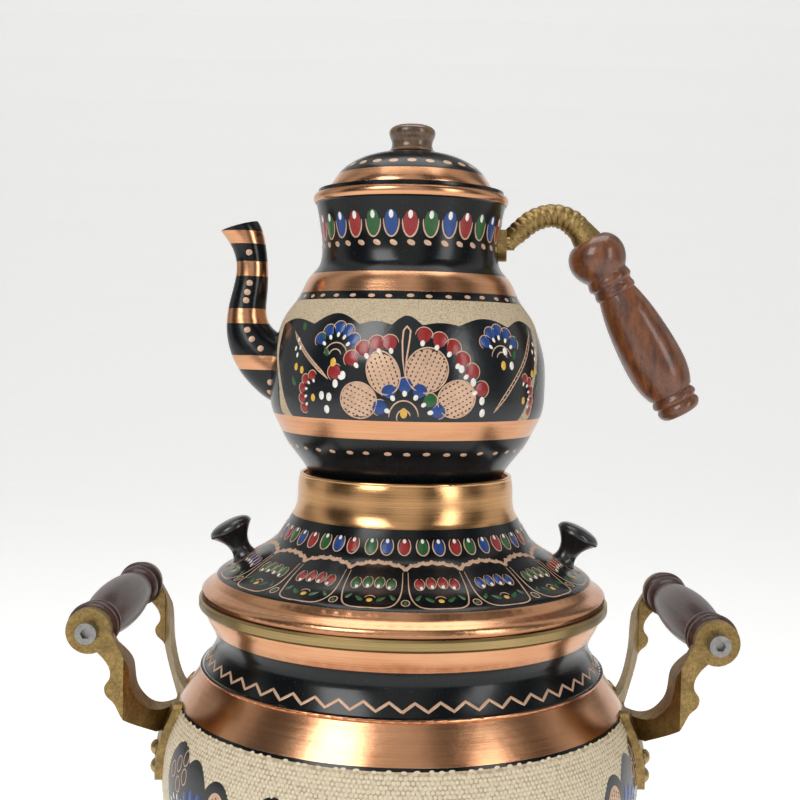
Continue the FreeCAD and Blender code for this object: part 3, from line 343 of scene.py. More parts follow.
def flower(middle):
    """The whole flower, centred a little right of the panel's middle."""
    heart = (middle + 3.1, 34.0)
    for spot in ((-14.5, 41.5, 16.0, 17.5, 66), (-5.0, 54.0, 14.5, 20.0, 22), (11.6, 55.5, 19.0, 20.5, -24),
                 (23.4, 42.8, 16.5, 18.5, -62)):
        hatched_petal(pot, middle + spot[0], *spot[1:])
    blue = [(middle + t, u) for t, u in ((-6.0, 38.5), (-2.6, 46.0), (3.4, 48.6), (9.0, 46.4), (16.2, 37.4))]
    pointed_dabs(pot, "blue", blue, heart, size=(6.6, 7.0))
    pointed_dabs(pot, "green", [(middle + 12.9, 42.0)], heart, size=(6.0, 6.6))
    red = [(-24.5, 53.7), (-17.6, 60.0), (-13.2, 64.6), (-8.0, 67.0), (-2.8, 67.4), (10.6, 71.0),
           (16.7, 69.0), (22.0, 65.9), (25.6, 60.4), (29.4, 55.2), (33.6, 47.2)]
    pointed_dabs(pot, "red", [(middle + t, u) for t, u in red], (heart[0], 30.0))
    for radius, start, stop in ((3.1, 15, 200), (6.6, 5, 178)):
        pot.stroke("engraved", pot.arc(*heart, radius, start, stop, squash=1.25), 0.65)
    pot.dabs("yellow", [(heart[0], 36.2, 3.2, 4.8, 0)], thick=0.3)
    stem = pot.line(middle + 3.4, 52.0, ((0.0, 0.0), (-1.2, 8.0), (-1.6, 16.0), (-1.2, 21.0), (0.4, 23.0),
                                          (2.2, 21.0), (1.6, 16.0), (0.4, 8.0), (0.0, 0.0)))
    pot.stroke("engraved", stem, 0.75)
    hatched_bar(pot, (middle - 51.0, 72.0), (middle - 27.5, 50.5))
    hatched_bar(pot, (middle + 68.0, 74.0), (middle + 40.0, 36.5))


def fans(middle):
    """Blue fans left and right of the flower, leaves, and small clusters at the panel's ends."""
    for fan_turn, flip in ((-25.0, 1), (44.0, -1)):
        centre = (middle + fan_turn, 61.0)
        spots = [pot.shift(*centre, flip * x, y) for x, y in
                 ((-9.6, 7.6), (-5.4, 11.4), (0.2, 13.0), (5.0, 11.6), (8.6, 7.6))]
        pointed_dabs(pot, "blue", spots, centre, size=(5.0, 6.4))
        for radius in (3.2, 6.2):
            pot.stroke("engraved", pot.arc(*centre, radius, 12, 170), 0.6)
        pot.dabs("yellow", [(*pot.shift(*centre, -0.5 * flip, -3.0), 3.0, 4.4, 0)], thick=0.3)
    for turn, flip in ((-38.0, 1), (60.0, -1)):
        cluster = [pot.shift(middle + turn, 46.0, flip * x, y) for x, y in
                   ((3.2, 5.8), (-1.0, 4.0), (-3.0, 0.0), (-3.2, -4.6), (-2.2, -9.0))]
        pointed_dabs(pot, "red", cluster, (middle + turn + 5 * flip, 45.0), size=(4.2, 4.8))
        golds = [(*pot.shift(middle + turn, 46.0, flip * x, y), 2.6, 3.6, 0) for x, y in
                 ((-8.4, 9.6), (-4.0, 8.2), (3.8, -4.2))]
        pot.dabs("yellow", golds, thick=0.3)
        leaves = [(*pot.shift(middle + turn, 46.0, flip * x, y), 2.4, 4.8, 30 * flip) for x, y in
                  ((-8.2, 28.5), (-9.8, 3.0), (10.5, 17.0), (7.0, 24.0))]
        pot.dabs("green", leaves, thick=0.22, taper=0.4)
        dots = [(*pot.shift(middle + turn, 46.0, flip * x, y), 1.5, 2.4, 0) for x, y in
                ((-10.6, 18.0), (-9.8, 22.0), (-8.4, 15.0), (-7.0, 18.5))]
        pot.dabs("white", dots, thick=0.3, segs=10)
    beads = [(middle + t, u, 2.9, 3.9, 0) for t, u in
             ((-21.0, 52.5), (-24.2, 48.6), (-27.0, 42.5), (-28.2, 36.8), (-30.5, 43.0), (25.0, 56.4),
              (30.0, 50.4), (34.0, 42.0), (34.5, 36.5), (49.0, 58.0), (46.0, 64.5))]
    pot.dabs("white", beads, thick=0.4)


pot.base = PATCH_LIFT
for middle in (PAINT_TURN, PAINT_TURN + 180):
    flower(middle)
    fans(middle)
pot.base = 0.0
print("flower drawn front and back")

# %% [markdown]
# ## The cover's arched panels
# The cover's slope is black, with a ring of coloured drops under the collar and a row of arches below. An
# arch is a scalloped engraved line over a rounded cell, which holds four drops, a yellow dot and four leaves.

# %% Drops and arches of the cover
CONE_DROPS = 48
DROPS_UP = 31.6
drops = ringed(CONE_DROPS, DROPS_UP, 5.0, 7.8, wobble=0.5, seed=8)
for i, name in enumerate(ENAMELS):
    cone.dabs(name, drops[i::3], thick=0.24, taper=0.25)
caps = drops.copy()
caps[:, 1] += 1.9
caps[:, 2:4] = (1.9, 2.8)
cone.dabs("white", caps, thick=0.38, segs=10)
for turn, up in drops[:, :2]:
    cone.stroke("engraved", cone.arc(turn, up, 2.9, 130, 410, squash=1.5), 0.6)

ARCHES = 17
ARCH_STEP = 360 / ARCHES
ARCH_START = 0.4
ARCH_UP = 22.4
CELL_TOP = 21.6
CELL_DEPTH = 11.6
FOUR_UP = 16.9
LEAVES_UP = 12.6
BETWEEN_UP = 11.6
panel_paints = ("green", "red", "blue")
for k in range(ARCHES):
    middle = ARCH_START - ARCH_STEP / 2 + k * ARCH_STEP
    across = np.linspace(-0.5, 0.5, 40)
    arch = np.stack([middle + across * ARCH_STEP,
                     ARCH_UP + 2.6 * np.cos(np.pi * across) ** 0.6 + 0.25 * np.cos(10 * np.pi * across)], -1)
    cone.stroke("engraved", arch, 1.9, ends=0.2)
    lumps = np.stack([arch[1::3, 0], arch[1::3, 1] + 0.35, *np.full((3, 13), 1.9)], -1)
    cone.dabs("engraved", lumps, thick=0.15, segs=8)
    a = np.linspace(np.pi, 2 * np.pi, 40)
    cell = np.stack([middle + 0.455 * ARCH_STEP * np.sign(np.cos(a)) * np.abs(np.cos(a)) ** 0.45,
                     CELL_TOP - CELL_DEPTH * np.abs(np.sin(a)) ** 0.55], -1)
    cone.stroke("engraved", cell, 0.75)
    colour = panel_paints[k % 3]
    four = np.array([(middle + s, FOUR_UP + 1.2 * math.cos(s / 6.0), 3.9, 6.2, -3.0 * s)
                     for s in (-5.9, -2.0, 2.0, 5.9)])
    cone.dabs(colour, four, thick=0.24, taper=0.15)
    tips = [(*cone.shift(turn, up, 2.2 * math.sin(math.radians(lean)), -2.2), 1.7, 2.4, lean)
            for turn, up, _, _, lean in four]
    cone.dabs("white", tips, thick=0.36, segs=10)
    for turn, height in four[:, :2]:
        cone.stroke("engraved", cone.arc(turn, height, 2.3, 100, 440, squash=1.55, count=16), 0.4)
    cone.dabs("yellow", [(middle, 12.2, 2.8, 3.0, 0)], thick=0.3)
    cone.stroke("engraved", cone.arc(middle, 12.4, 2.6, 20, 160, squash=1.1, count=12), 0.45)
    leaves = [(middle + s * 3.4, LEAVES_UP, 2.0, 5.0, -s * 52) for s in (-1, 1)]
    leaves += [(middle + s * 6.6, LEAVES_UP + 0.6, 1.8, 4.4, s * 35) for s in (-1, 1)]
    cone.dabs("green", leaves, thick=0.22, taper=0.5)
for turn in ARCH_START + np.arange(ARCHES) * ARCH_STEP:
    cone.stroke("engraved", cone.arc(turn, BETWEEN_UP, 1.8, 0, 360, squash=1.3), 0.6, ends=0.0)
cone.dabs("green", ringed(ARCHES, BETWEEN_UP, 1.9, 2.6, start=ARCH_START), thick=0.2)
print("arches:", ARCHES, "drops:", CONE_DROPS)

# %% [markdown]
# ## Zigzag, scales and flower clusters of the body
# The neck's black band carries an engraved zigzag, and cream bumps bite into the black line under the brushed
# band. The belly below is covered by small cream scales, each a bead punched into the copper, so they are
# modelled as beads in staggered rows. Black mounds with blue fans and hatched petals grow up through them. A
# mound is a thin oval skin, cut fine enough to follow the round belly.

# %% Zigzag and clusters
ZIGZAGS = 54
ZIGZAG_UP = 158.2
ZIGZAG_REACH = 1.7
BUMPS_UP = 135.5
t = np.linspace(0, 1, 8 * ZIGZAGS + 1)
wave = 2 * np.abs(2 * ((t * ZIGZAGS) % 1) - 1) - 1
zigzag = np.stack([360 * t, ZIGZAG_UP - ZIGZAG_REACH * wave + 0.25 * np.sin(40 * t)], -1)
body.stroke("engraved", zigzag, 1.35, thick=0.16, ends=0.0)
body.dabs("cream", ringed(120, BUMPS_UP, 2.6, 1.3, wobble=0.9, seed=9), thick=0.16, segs=10)

# across, along, width, height, lean (mm and degrees) of each petal of a cluster, from its heart
HATCHED = ((0, 15, 12, 21, -4), (-13, 5, 11, 17, 48), (14, 6, 11, 17, -46))
BLUES = ((-28, 11, 4.4, 9, 34), (-23.5, 15, 4.4, 9.6, 18), (-18, 17, 4.4, 10, 6), (-12.5, 17.5, 4.0, 9, -4))
CROWN = ((-34, 29), (-28, 33), (-40, 25), (-33, 20), (-27, 25))
ROUNDS = (("red", -24, -2, 5, 8, 70), ("green", 23, 1, 5, 8, -70), ("blue", 24, -9, 4.5, 8, -84),
          ("red", -14, -15, 5, 8, 150), ("blue", -5, -19, 5, 8.5, 170), ("red", 5, -19, 5, 8.5, 190),
          ("blue", 14, -15, 5, 8, 210))
# the black mounds under them
MOUNDS = ((-33, 18, 27, 41, 8), (-17, 20, 20, 30, 6), (0, 15, 21, 31, -4), (-15, 2, 26, 28, 48),
          (15, 5, 22, 27, -46), (-24, -3, 22, 20, 70), (23, -3, 18, 24, -60), (0, -10, 44, 34, 0))
MOUND_LIFT = 0.10
MOUND_RINGS = 10
MOUND_SEGS = 48
PETAL_LIFT = MOUND_LIFT + 0.04
HEART_UP = 92.0
laid = []


def mound(turn, up, width, height, lean):
    """A black oval: x = rho cos(phi) width/2, y = rho sin(phi) height/2, turned by the lean. It is noted
    so that no scale is laid where it lies."""
    rho = np.linspace(0.02, 1, MOUND_RINGS)[:, None]
    phi = np.linspace(0, 2 * np.pi, MOUND_SEGS, endpoint=False)[None]
    x, y = turned(0.5 * width * rho * np.cos(phi), 0.5 * height * rho * np.sin(phi), lean)
    points = body.place(*body.shift(turn, up, x, y), MOUND_LIFT + 0 * x)
    body.keep("black", points, grid_faces(MOUND_RINGS, MOUND_SEGS, wrap=True))
    laid.append((turn, up, width, height, lean))


def cluster(middle, raised, side):
    """Black mounds, then hatched petals, a fan of blue dabs and a crown of rings; side -1 mirrors it."""
    heart = (middle, HEART_UP + raised)

    def at(x, y, *size):
        return (*body.shift(*heart, side * x, y), *size)

    for x, y, width, height, lean in MOUNDS:
        mound(*at(x, y, width, height, side * lean))
    body.base = PETAL_LIFT
    for x, y, width, height, lean in HATCHED:
        hatched_petal(body, *at(x, y), width, height, side * lean)
    for x, y, width, height, lean in BLUES:
        body.dabs("blue", [at(x, y, width, height, side * lean)], thick=0.24, taper=-0.1)
        body.dabs("white", [at(x, y - 0.62 * height, 2.0, 3.6, side * lean)], thick=0.3, segs=10)
    for x, y in CROWN:
        body.stroke("engraved", body.arc(*at(x, y), 2.4, 0, 360, squash=1.5), 0.6, ends=0.0)
    fan = [at(-33 + 10 * math.sin(a), 4 + 10 * math.cos(a), 1.3, 3.4, -side * math.degrees(a))
           for a in np.radians((-50, -25, 0, 25, 50))]
    body.dabs("white", fan, thick=0.24, segs=10)
    for colour, x, y, width, height, lean in ROUNDS:
        spot = at(x, y)
        lean *= side
        body.dabs(colour, [(*spot, 0.8 * width, 0.8 * height, lean)], thick=0.24, taper=0.1)
        body.stroke("engraved", body.arc(*spot, 0.62 * height, lean + 5, lean + 175, squash=1.05), 0.75)
    body.dabs("yellow", [at(0, -6, 4.4, 6.0, 0)], thick=0.3)
    for radius in (5.2, 8.4):
        body.stroke("engraved", body.arc(*at(0, -7), radius, 5, 175), 0.8)
    body.base = 0.0


def ring_round(turn, up):
    """A black round with an engraved ring and a coloured heart, between two clusters."""
    mound(turn, up, 19, 21, 0)
    body.base = PETAL_LIFT
    body.stroke("engraved", body.arc(turn, up, 6.2, 0, 360), 1.1, ends=0.0)
    body.dabs("green", [(turn, up + 1.5, 6.5, 5.5, 0)], thick=0.24)
    body.dabs("yellow", [(turn, up - 3.0, 3.6, 3.6, 0)], thick=0.24)
    body.base = 0.0


# turn, mm raised over the usual heart, and side of each cluster; turn and height of each round between them
CLUSTERS = ((-43, -1.5, 1), (-7, -30, 1), (26, -16, -1), (55, -1.5, -1), (96, -5, 1), (132, -12, 1),
            (166, -1.5, -1), (202, -12, -1), (238, -5, 1), (270, -22, 1))
ROUNDS_BETWEEN = ((-27, 111), (14, 112), (33, 110), (78, 106), (114, 108), (149, 106), (184, 108), (220, 106))
for turn, raised, side in CLUSTERS:
    cluster(turn, raised, side)
for turn, up in ROUNDS_BETWEEN:
    ring_round(turn, up)
print("clusters:", len(CLUSTERS), "mounds:", len(laid))

# %% Beads of the cream ground
BEAD_PITCH = 2.05
BEAD_SIZE = 1.75
SCALES_TOP = 133.4
SCALES_LOW = 26.0
rows = []
for k, up in enumerate(np.arange(SCALES_TOP, SCALES_LOW, -BEAD_PITCH * 0.84)):
    count = int(2 * math.pi * float(body.at(body.r, up)) / MM / BEAD_PITCH)
    turns = (np.arange(count) + 0.5 * (k % 2)) * 360 / count
    rows.append(np.stack([turns, np.full(count, up)], -1))
beads = np.concatenate(rows)
for turn, up, width, height, lean in laid:
    radius = float(body.at(body.r, up)) / MM
    x = np.radians((beads[:, 0] - turn + 180) % 360 - 180) * radius
    y = (beads[:, 1] - up) / float(body.at(body.n_out, up))
    x, y = turned(x, y, -lean)
    beads = beads[(2 * x / width) ** 2 + (2 * y / height) ** 2 > 1]
print("beads round the belly:", len(beads))


def bead_field(canvas, paint, spots, size, thick):
    """Six-sided low pyramids with cut tops: two rings of six points, rho 1 and 0.6, and a cap."""
    phi = np.linspace(0, 2 * np.pi, 6, endpoint=False)[None]
    rings = []
    for rho, lift in ((1.0, -SINK), (0.6, thick)):
        turn, up = canvas.shift(spots[:, :1], spots[:, 1:], 0.5 * size * rho * np.cos(phi),
                                0.5 * size * rho * np.sin(phi))
        rings.append(canvas.place(turn, up, lift + 0 * up))
    points = np.stack(rings, 1)
    side = grid_faces(2, 6, wrap=True)
    cap = np.array([(6, 7, 8, 9), (6, 9, 10, 11)])
    starts = 12 * np.arange(len(spots))[:, None, None]
    canvas.keep(paint, points, (np.concatenate([side, cap])[None] + starts).reshape(-1, 4))


for k in range(3):
    bead_field(body, "cream scales " + str(k + 1), beads[k::3], BEAD_SIZE, 0.16)

# %% [markdown]
# ## Dots of the lid and the spout
# The lid's dome has one ring of engraved ovals. The spout is bent, so its dots can't use the turned outline;
# its own wall is found by rays shot from in front and behind.

# %% Lid ovals and spout dots
LID_OVALS_UP = 23.4
lid = Canvas("lid_shell", "teapot_lid")
lid.dabs("engraved", ringed(24, LID_OVALS_UP, 4.8, 3.2, wobble=0.5, seed=12), thick=0.14)

SPOUT_DOT = 3.2
SPOUT_DOTS_AT = (452.5, 437.5, 433.0, 429.0, 414.5, 410.0, 405.5, 389.0, 384.0)
spout_tree = search_tree("pot_spout")


def spout_dot(height):
    """A round bead on the spout's front and one on its back, where a ray along Y meets the metal furthest
    out."""
    low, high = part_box("pot_spout")
    for side in (-1, 1):
        hits = []
        for x in np.linspace(low.x, high.x, 60):
            start = Vector((x, side * 0.1, height * MM))
            spot, normal = spout_tree.ray_cast(start, Vector((0, -side, 0)))[:2]
            if spot is not None:
                hits.append((abs(spot.y), spot, normal))
        if hits:
            bead_at(*max(hits, key=lambda hit: hit[0])[1:], SPOUT_DOT)


def bead_at(spot, normal, size):
    """A low dome round a spot: spot + rho (cos phi u + sin phi v) + (1 - rho^2) 0.25 n."""
    u = normal.cross(Vector((0, 0, 1))).normalized()
    v = normal.cross(u)
    rho = np.array([0.02, 0.6, 1.0])[:, None, None]
    phi = np.linspace(0, 2 * np.pi, 12, endpoint=False)[None, :, None]
    flat = 0.5 * size * MM * rho * (np.cos(phi) * np.array(u) - np.sin(phi) * np.array(v))
    points = np.array(spot) + flat + (0.25 * (1 - rho ** 2) - 0.03) * MM * np.array(normal)
    pot.keep("engraved", points, grid_faces(3, 12, wrap=True))


for height in SPOUT_DOTS_AT:
    spout_dot(height)
print("spout dots:", 2 * len(SPOUT_DOTS_AT))

# %% [markdown]
# ## The cast bracket's rope
# The bracket that holds the teapot's grip is cast with a rope pattern on its arch and a smooth cup at its
# end. A bump map would leave its outline smooth, so the rope is a second skin along the arch, with a radius
# that rises and falls along a screw line.

# %% Rope ribs on the bracket
TUBE_SEGS = 40


def smooth_path(points, count):
    """Points spread evenly along a curve through the given ones, by a spline in each coordinate."""
    points = np.asarray(points, float)
    steps = np.r_[0, np.cumsum(np.linalg.norm(np.diff(points[:, :2], axis=0), axis=1))]
    fine = np.linspace(0, steps[-1], count)
    return np.stack([catmull(steps, column, fine) for column in points.T], -1)


def catmull(x, y, at):
    """Cubic pieces through (x, y) whose slopes are those between the neighbours of each point."""
    slope = np.gradient(y, x)
    i = np.clip(np.searchsorted(x, at) - 1, 0, len(x) - 2)
    h = x[i + 1] - x[i]
    t = (at - x[i]) / h
    return ((2 * t ** 3 - 3 * t ** 2 + 1) * y[i] + (t ** 3 - 2 * t ** 2 + t) * h * slope[i]
            + (3 * t ** 2 - 2 * t ** 3) * y[i + 1] + (t ** 3 - t ** 2) * h * slope[i + 1])


def tube(path, radius_of):
    """A tube in the XZ plane: centre + r(s, phi) (cos phi side + sin phi Y), with closed ends."""
    path = np.asarray(path)
    along = np.gradient(path[:, :2], axis=0)
    along /= np.linalg.norm(along, axis=1)[:, None]
    phi = np.linspace(0, 2 * np.pi, TUBE_SEGS, endpoint=False)[None]
    s = np.linspace(0, 1, len(path))[:, None]
    radius = radius_of(s, phi) * path[:, 2:3]
    x = path[:, :1] - along[:, 1:] * radius * np.cos(phi)
    z = path[:, 1:2] + along[:, :1] * radius * np.cos(phi)
    points = np.stack([x, radius * np.sin(phi) + 0 * x, z], -1)
    faces = grid_faces(len(path), TUBE_SEGS, wrap=True)
    first = list(range(TUBE_SEGS))[::-1]
    last = [TUBE_SEGS * (len(path) - 1) + i for i in range(TUBE_SEGS)]
    return points.reshape(-1, 3) * MM, [tuple(f) for f in faces] + [tuple(first), tuple(last)]


def piece(name, points, faces, material, ride):
    """Puts points and faces into a mesh object at the origin and rides it on a body."""
    mesh = bpy.data.meshes.new(name)
    mesh.from_pydata(points.tolist(), [], [tuple(int(i) for i in f) for f in faces])
    mesh.polygons.foreach_set("use_smooth", [True] * len(mesh.polygons))
    mesh.materials.append(material)
    mesh.update()
    thing = bpy.data.objects.new(name, mesh)
    bpy.context.collection.objects.link(thing)
    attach(thing, ride)
    return thing


# x, z and radius (mm) along the arch
BRACKET_ARCH = ((50.0, 462.3, 4.7), (54.0, 466.0, 4.8), (61.5, 471.8, 5.0), (71.4, 474.2, 5.1),
                (80.1, 471.0, 5.5), (83.6, 467.8, 6.0))
ROPE_RIBS = 11
arch_path = smooth_path(BRACKET_ARCH, 150)


def rope_radius(s, phi):
    """Share of the arch's radius: 1.02 + 0.13 |sin(pi ribs s + phi/2)|^0.7, fading out at both ends."""
    rib = np.abs(np.sin(np.pi * ROPE_RIBS * s + 0.5 * phi)) ** 0.7
    return 1.02 + 0.13 * rib * np.clip(12 * s, 0, 1) * np.clip(12 - 12 * s, 0, 1)


rope_points, rope_faces = tube(arch_path, rope_radius)
print("rope points:", len(rope_points))

# %% [markdown]
# ## Finishes
# Each finish is built from the same few parts: a height over the piece's foot that picks the painted zone,
# thin layers of noise for brush lines, and cells for hammered or cast grain. All read Object coordinates, so
# they stay on their piece when it moves.

# %% A finish's node tree


class Finish:
    """A material with one shader, and short ways to add the nodes that most finishes share."""

    def __init__(self, name, colour=(0.8, 0.8, 0.8), metal=0.0, rough=0.4, **more):
        self.material = bpy.data.materials.new(name)
        self.material.use_nodes = True
        self.tree = self.material.node_tree
        self.tree.nodes.clear()
        self.shader = self.add("ShaderNodeBsdfPrincipled")
        output = self.add("ShaderNodeOutputMaterial")
        self.tree.links.new(self.shader.outputs[0], output.inputs[0])
        self.coords = self.add("ShaderNodeTexCoord")
        self.set("Base Color", (*colour, 1))
        self.set("Metallic", metal)
        self.set("Roughness", rough)
        for socket, value in more.items():
            self.set(socket.replace("_", " "), value)
        self.last_normal = None

    def add(self, kind, **settings):
        node = self.tree.nodes.new(kind)
        for key, value in settings.items():
            setattr(node, key, value)
        return node

    def put(self, node, socket, value):
        if isinstance(value, bpy.types.NodeSocket):
            self.tree.links.new(value, node.inputs[socket])
        else:
            node.inputs[socket].default_value = value

    def set(self, socket, value):
        self.put(self.shader, socket, value)

    def math(self, operation, a, b=0.0):
        node = self.add("ShaderNodeMath", operation=operation)
        self.put(node, 0, a)
        self.put(node, 1, b)
        return node.outputs[0]

    def mix(self, factor, a, b):
        node = self.add("ShaderNodeMix", data_type="RGBA")
        self.put(node, 0, factor)
        self.put(node, 6, (*a, 1) if isinstance(a, tuple) else a)
        self.put(node, 7, (*b, 1) if isinstance(b, tuple) else b)
        return node.outputs[2]

    def blend(self, factor, a, b):
        """Number between a and b: a + factor (b - a)."""
        node = self.add("ShaderNodeMapRange")
        self.put(node, 0, factor)
        self.put(node, 3, a)
        self.put(node, 4, b)
        return node.outputs[0]

    def object_axis(self, axis):
        split = self.add("ShaderNodeSeparateXYZ")
        self.put(split, 0, self.coords.outputs["Object"])
        return split.outputs[axis]

    def noise(self, scale, detail=3.0, rough=0.6):
        """Noise with a scale (waves per metre) for each axis."""
        spread = self.add("ShaderNodeMapping")
        self.put(spread, "Vector", self.coords.outputs["Object"])
        self.put(spread, "Scale", scale)
        node = self.add("ShaderNodeTexNoise")
        self.put(node, "Vector", spread.outputs[0])
        self.put(node, "Scale", 1.0)
        self.put(node, "Detail", detail)
        self.put(node, "Roughness", rough)
        return node.outputs[0]

    def cells(self, scale, randomness=1.0):
        spread = self.add("ShaderNodeMapping")
        self.put(spread, "Vector", self.coords.outputs["Object"])
        self.put(spread, "Scale", scale)
        node = self.add("ShaderNodeTexVoronoi")
        self.put(node, "Vector", spread.outputs[0])
        self.put(node, "Scale", 1.0)
        self.put(node, "Randomness", randomness)
        return node.outputs["Distance"]

    def ramp(self, value, stops, steps=False):
        node = self.add("ShaderNodeValToRGB")
        self.put(node, 0, value)
        band = node.color_ramp
        band.interpolation = "CONSTANT" if steps else "LINEAR"
        while len(band.elements) < len(stops):
            band.elements.new(0.5)
        for element, (place, level) in zip(band.elements, stops):
            element.position = place
            element.color = (level, level, level, 1)
        return node.outputs[0]

    def zone(self, node, starts):
        """1 or 0 by height over a CAD node's lowest point: (mm, level) pairs, each up to the next."""
        low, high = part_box(node)
        up = self.math("SUBTRACT", self.object_axis(2), low.z)
        up = self.math("DIVIDE", up, high.z - low.z)
        return self.ramp(up, [(mm * MM / (high.z - low.z), level) for mm, level in starts], steps=True)

    def inside(self):
        """1 where the surface faces the vertical axis: normal times place, summed in X and Y, is negative."""
        facing = self.add("ShaderNodeVectorMath", operation="DOT_PRODUCT")
        flat = self.add("ShaderNodeVectorMath", operation="MULTIPLY")
        self.put(flat, 0, self.coords.outputs["Object"])
        self.put(flat, 1, (1, 1, 0))
        self.put(facing, 0, flat.outputs[0])
        self.put(facing, 1, self.coords.outputs["Normal"])
        return self.math("LESS_THAN", facing.outputs["Value"], -0.002)

    def bump(self, height, depth):
        """Raises the surface by height times depth (mm), over any bump added before."""
        node = self.add("ShaderNodeBump")
        self.put(node, "Strength", 1.0)
        self.put(node, "Distance", depth * MM)
        self.put(node, "Height", height)
        if self.last_normal is not None:
            self.put(node, "Normal", self.last_normal)
        self.last_normal = node.outputs[0]
        self.set("Normal", self.last_normal)


COPPER = (0.72, 0.36, 0.19)
COPPER_DARK = (0.52, 0.24, 0.12)
BLACK = (0.003, 0.004, 0.005)
COPPER_PALE = (0.80, 0.46, 0.26)
CREAM = (0.62, 0.52, 0.36)
CREAM_PIT = (0.30, 0.20, 0.11)
CREAM_WORN = (0.62, 0.50, 0.34)
BLACK_SPECK = (0.055, 0.05, 0.045)
TIN = (0.55, 0.53, 0.50)
AROUND = (14, 14, 2600)  # waves per metre of brush lines that run round the axis
print("finish tools ready")

# %% [markdown]
# ### Enamelled copper
# The vessel walls are one sheet with bare brushed bands, black enamel and cream ground, so each of them needs
# one material with zones. The bands are cut at exact heights, while brush lines, specks and wear come from
# noise.

# %% Enamelled copper sheets


def enamelled(name, node, bare, ground=((0, 0),), grain=520, tinned=True):
    """Bare copper, cream ground or black enamel by height; the side that faces the axis is tinned."""
    finish = Finish(name, Specular_IOR_Level=0.35)
    is_bare = finish.zone(node, bare)
    is_ground = finish.zone(node, ground)
    lines = finish.noise(AROUND, detail=5, rough=0.7)
    broad = finish.noise((26, 26, 90), detail=3)
    copper = finish.mix(finish.ramp(lines, ((0.3, 0), (0.7, 1))), COPPER_DARK, COPPER)
    copper = finish.mix(finish.ramp(broad, ((0.35, 0.0), (0.75, 0.45))), copper, COPPER_PALE)
    specks = finish.ramp(finish.noise((900, 900, 900), detail=2), ((0.62, 0), (0.72, 0.35)))
    black = finish.mix(specks, BLACK, BLACK_SPECK)
    pits = finish.cells((grain, grain, grain), 0.9)
    cream = finish.mix(finish.ramp(pits, ((0.32, 0), (0.70, 0.75))), CREAM, CREAM_PIT)
    cream = finish.mix(finish.ramp(broad, ((0.3, 0.0), (0.8, 0.35))), cream, CREAM_WORN)
    colour = finish.mix(is_ground, black, cream)
    colour = finish.mix(is_bare, colour, copper)
    inner = finish.inside() if tinned else 0.0
    finish.set("Base Color", finish.mix(inner, colour, TIN))
    finish.set("Metallic", finish.math("MAXIMUM", is_bare, inner))
    rough = finish.blend(is_ground, 0.20, 0.62)
    rough = finish.blend(is_bare, rough, finish.blend(lines, 0.15, 0.29))
    finish.set("Roughness", rough)
    height = finish.math("MULTIPLY", is_ground, finish.math("SUBTRACT", 1.0, pits))
    finish.bump(height, 0.35)
    finish.bump(finish.math("MULTIPLY", is_bare, lines), 0.03)
    finish.bump(finish.noise((60, 60, 60), detail=2), 0.12)
    return finish.material


# (mm over the piece's foot, level) pairs: level 1 starts a bare or a cream zone, level 0 ends it
dress = {}
dress["pot_shell"] = enamelled("teapot enamel", "pot_shell",
                               ((0, 0), (23.1, 1), (32.2, 0), (91.0, 1), (100.0, 0), (135.3, 1)),
                               ((0, 0), (32.2, 1), (87.2, 0)), grain=1500)
dress["cover_cone"] = enamelled("cover enamel", "cover_cone", ((0, 1), (8.7, 0)))
dress["body_shell"] = enamelled("body enamel", "body_shell",
                                ((0, 0), (136.6, 1), (153.5, 0), (172.5, 1)), ((0, 0), (26, 1), (135.3, 0)))
dress["lid_shell"] = enamelled("lid enamel", "lid_shell", ((0, 0), (13.4, 1), (19.8, 0)))
# bare bands of the spout, in mm over the teapot's foot
SPOUT_BANDS = ((53, 60), (75.5, 83), (99, 106), (115, 121))
spout_low = (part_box("pot_spout")[0].z - pot.low) / MM
bands = [(0, 0)]
for low, high in SPOUT_BANDS:
    bands += [(low - spout_low, 1), (high - spout_low, 0)]
dress["pot_spout"] = enamelled("spout enamel", "pot_spout", bands, tinned=False)
print("enamelled:", sorted(dress))

# %% [markdown]
# ### Bare metals, wood and resin
# Brushed copper, soft turned brass, grainy cast brass, steel, iron, three woods and black resin. What tells
# them apart is how wide the highlight is and what breaks it up, so each has its own roughness pattern.

# %% Bare metals


def brushed(name, bright, dark, rough, scale=AROUND, depth=0.03):
    """Turned or brushed metal: fine lines in colour and roughness, and soft patches of patina."""
    finish = Finish(name, metal=1.0)
    lines = finish.noise(scale, detail=6, rough=0.75)
    broad = finish.noise((30, 30, 30), detail=4)
    colour = finish.mix(finish.ramp(lines, ((0.25, 0), (0.7, 1))), dark, bright)
    worn = finish.ramp(broad, ((0.45, 0), (0.75, 0.3)))
    finish.set("Base Color", finish.mix(worn, colour, dark))
    finish.set("Roughness", finish.blend(lines, rough - 0.08, rough + 0.14))
    finish.bump(lines, depth)
    return finish.material


def cast(name, bright, dark, rough=0.42):
    """Cast metal: small dents from cells over broad waves, darker in broad patches where the waves rise."""
    finish = Finish(name, metal=1.0)
    grain = finish.noise((900, 900, 900), detail=5, rough=0.7)
    waves = finish.noise((160, 160, 160), detail=4)
    dents = finish.cells((330, 330, 330))
    colour = finish.mix(finish.ramp(grain, ((0.3, 0), (0.7, 1))), dark, bright)
    finish.set("Base Color", finish.mix(finish.ramp(waves, ((0.4, 0), (0.7, 0.7))), colour, dark))
    finish.set("Roughness", finish.blend(grain, rough - 0.12, rough + 0.18))
    finish.bump(waves, 0.5)
    finish.bump(dents, 0.12)
    finish.bump(grain, 0.08)
    return finish.material


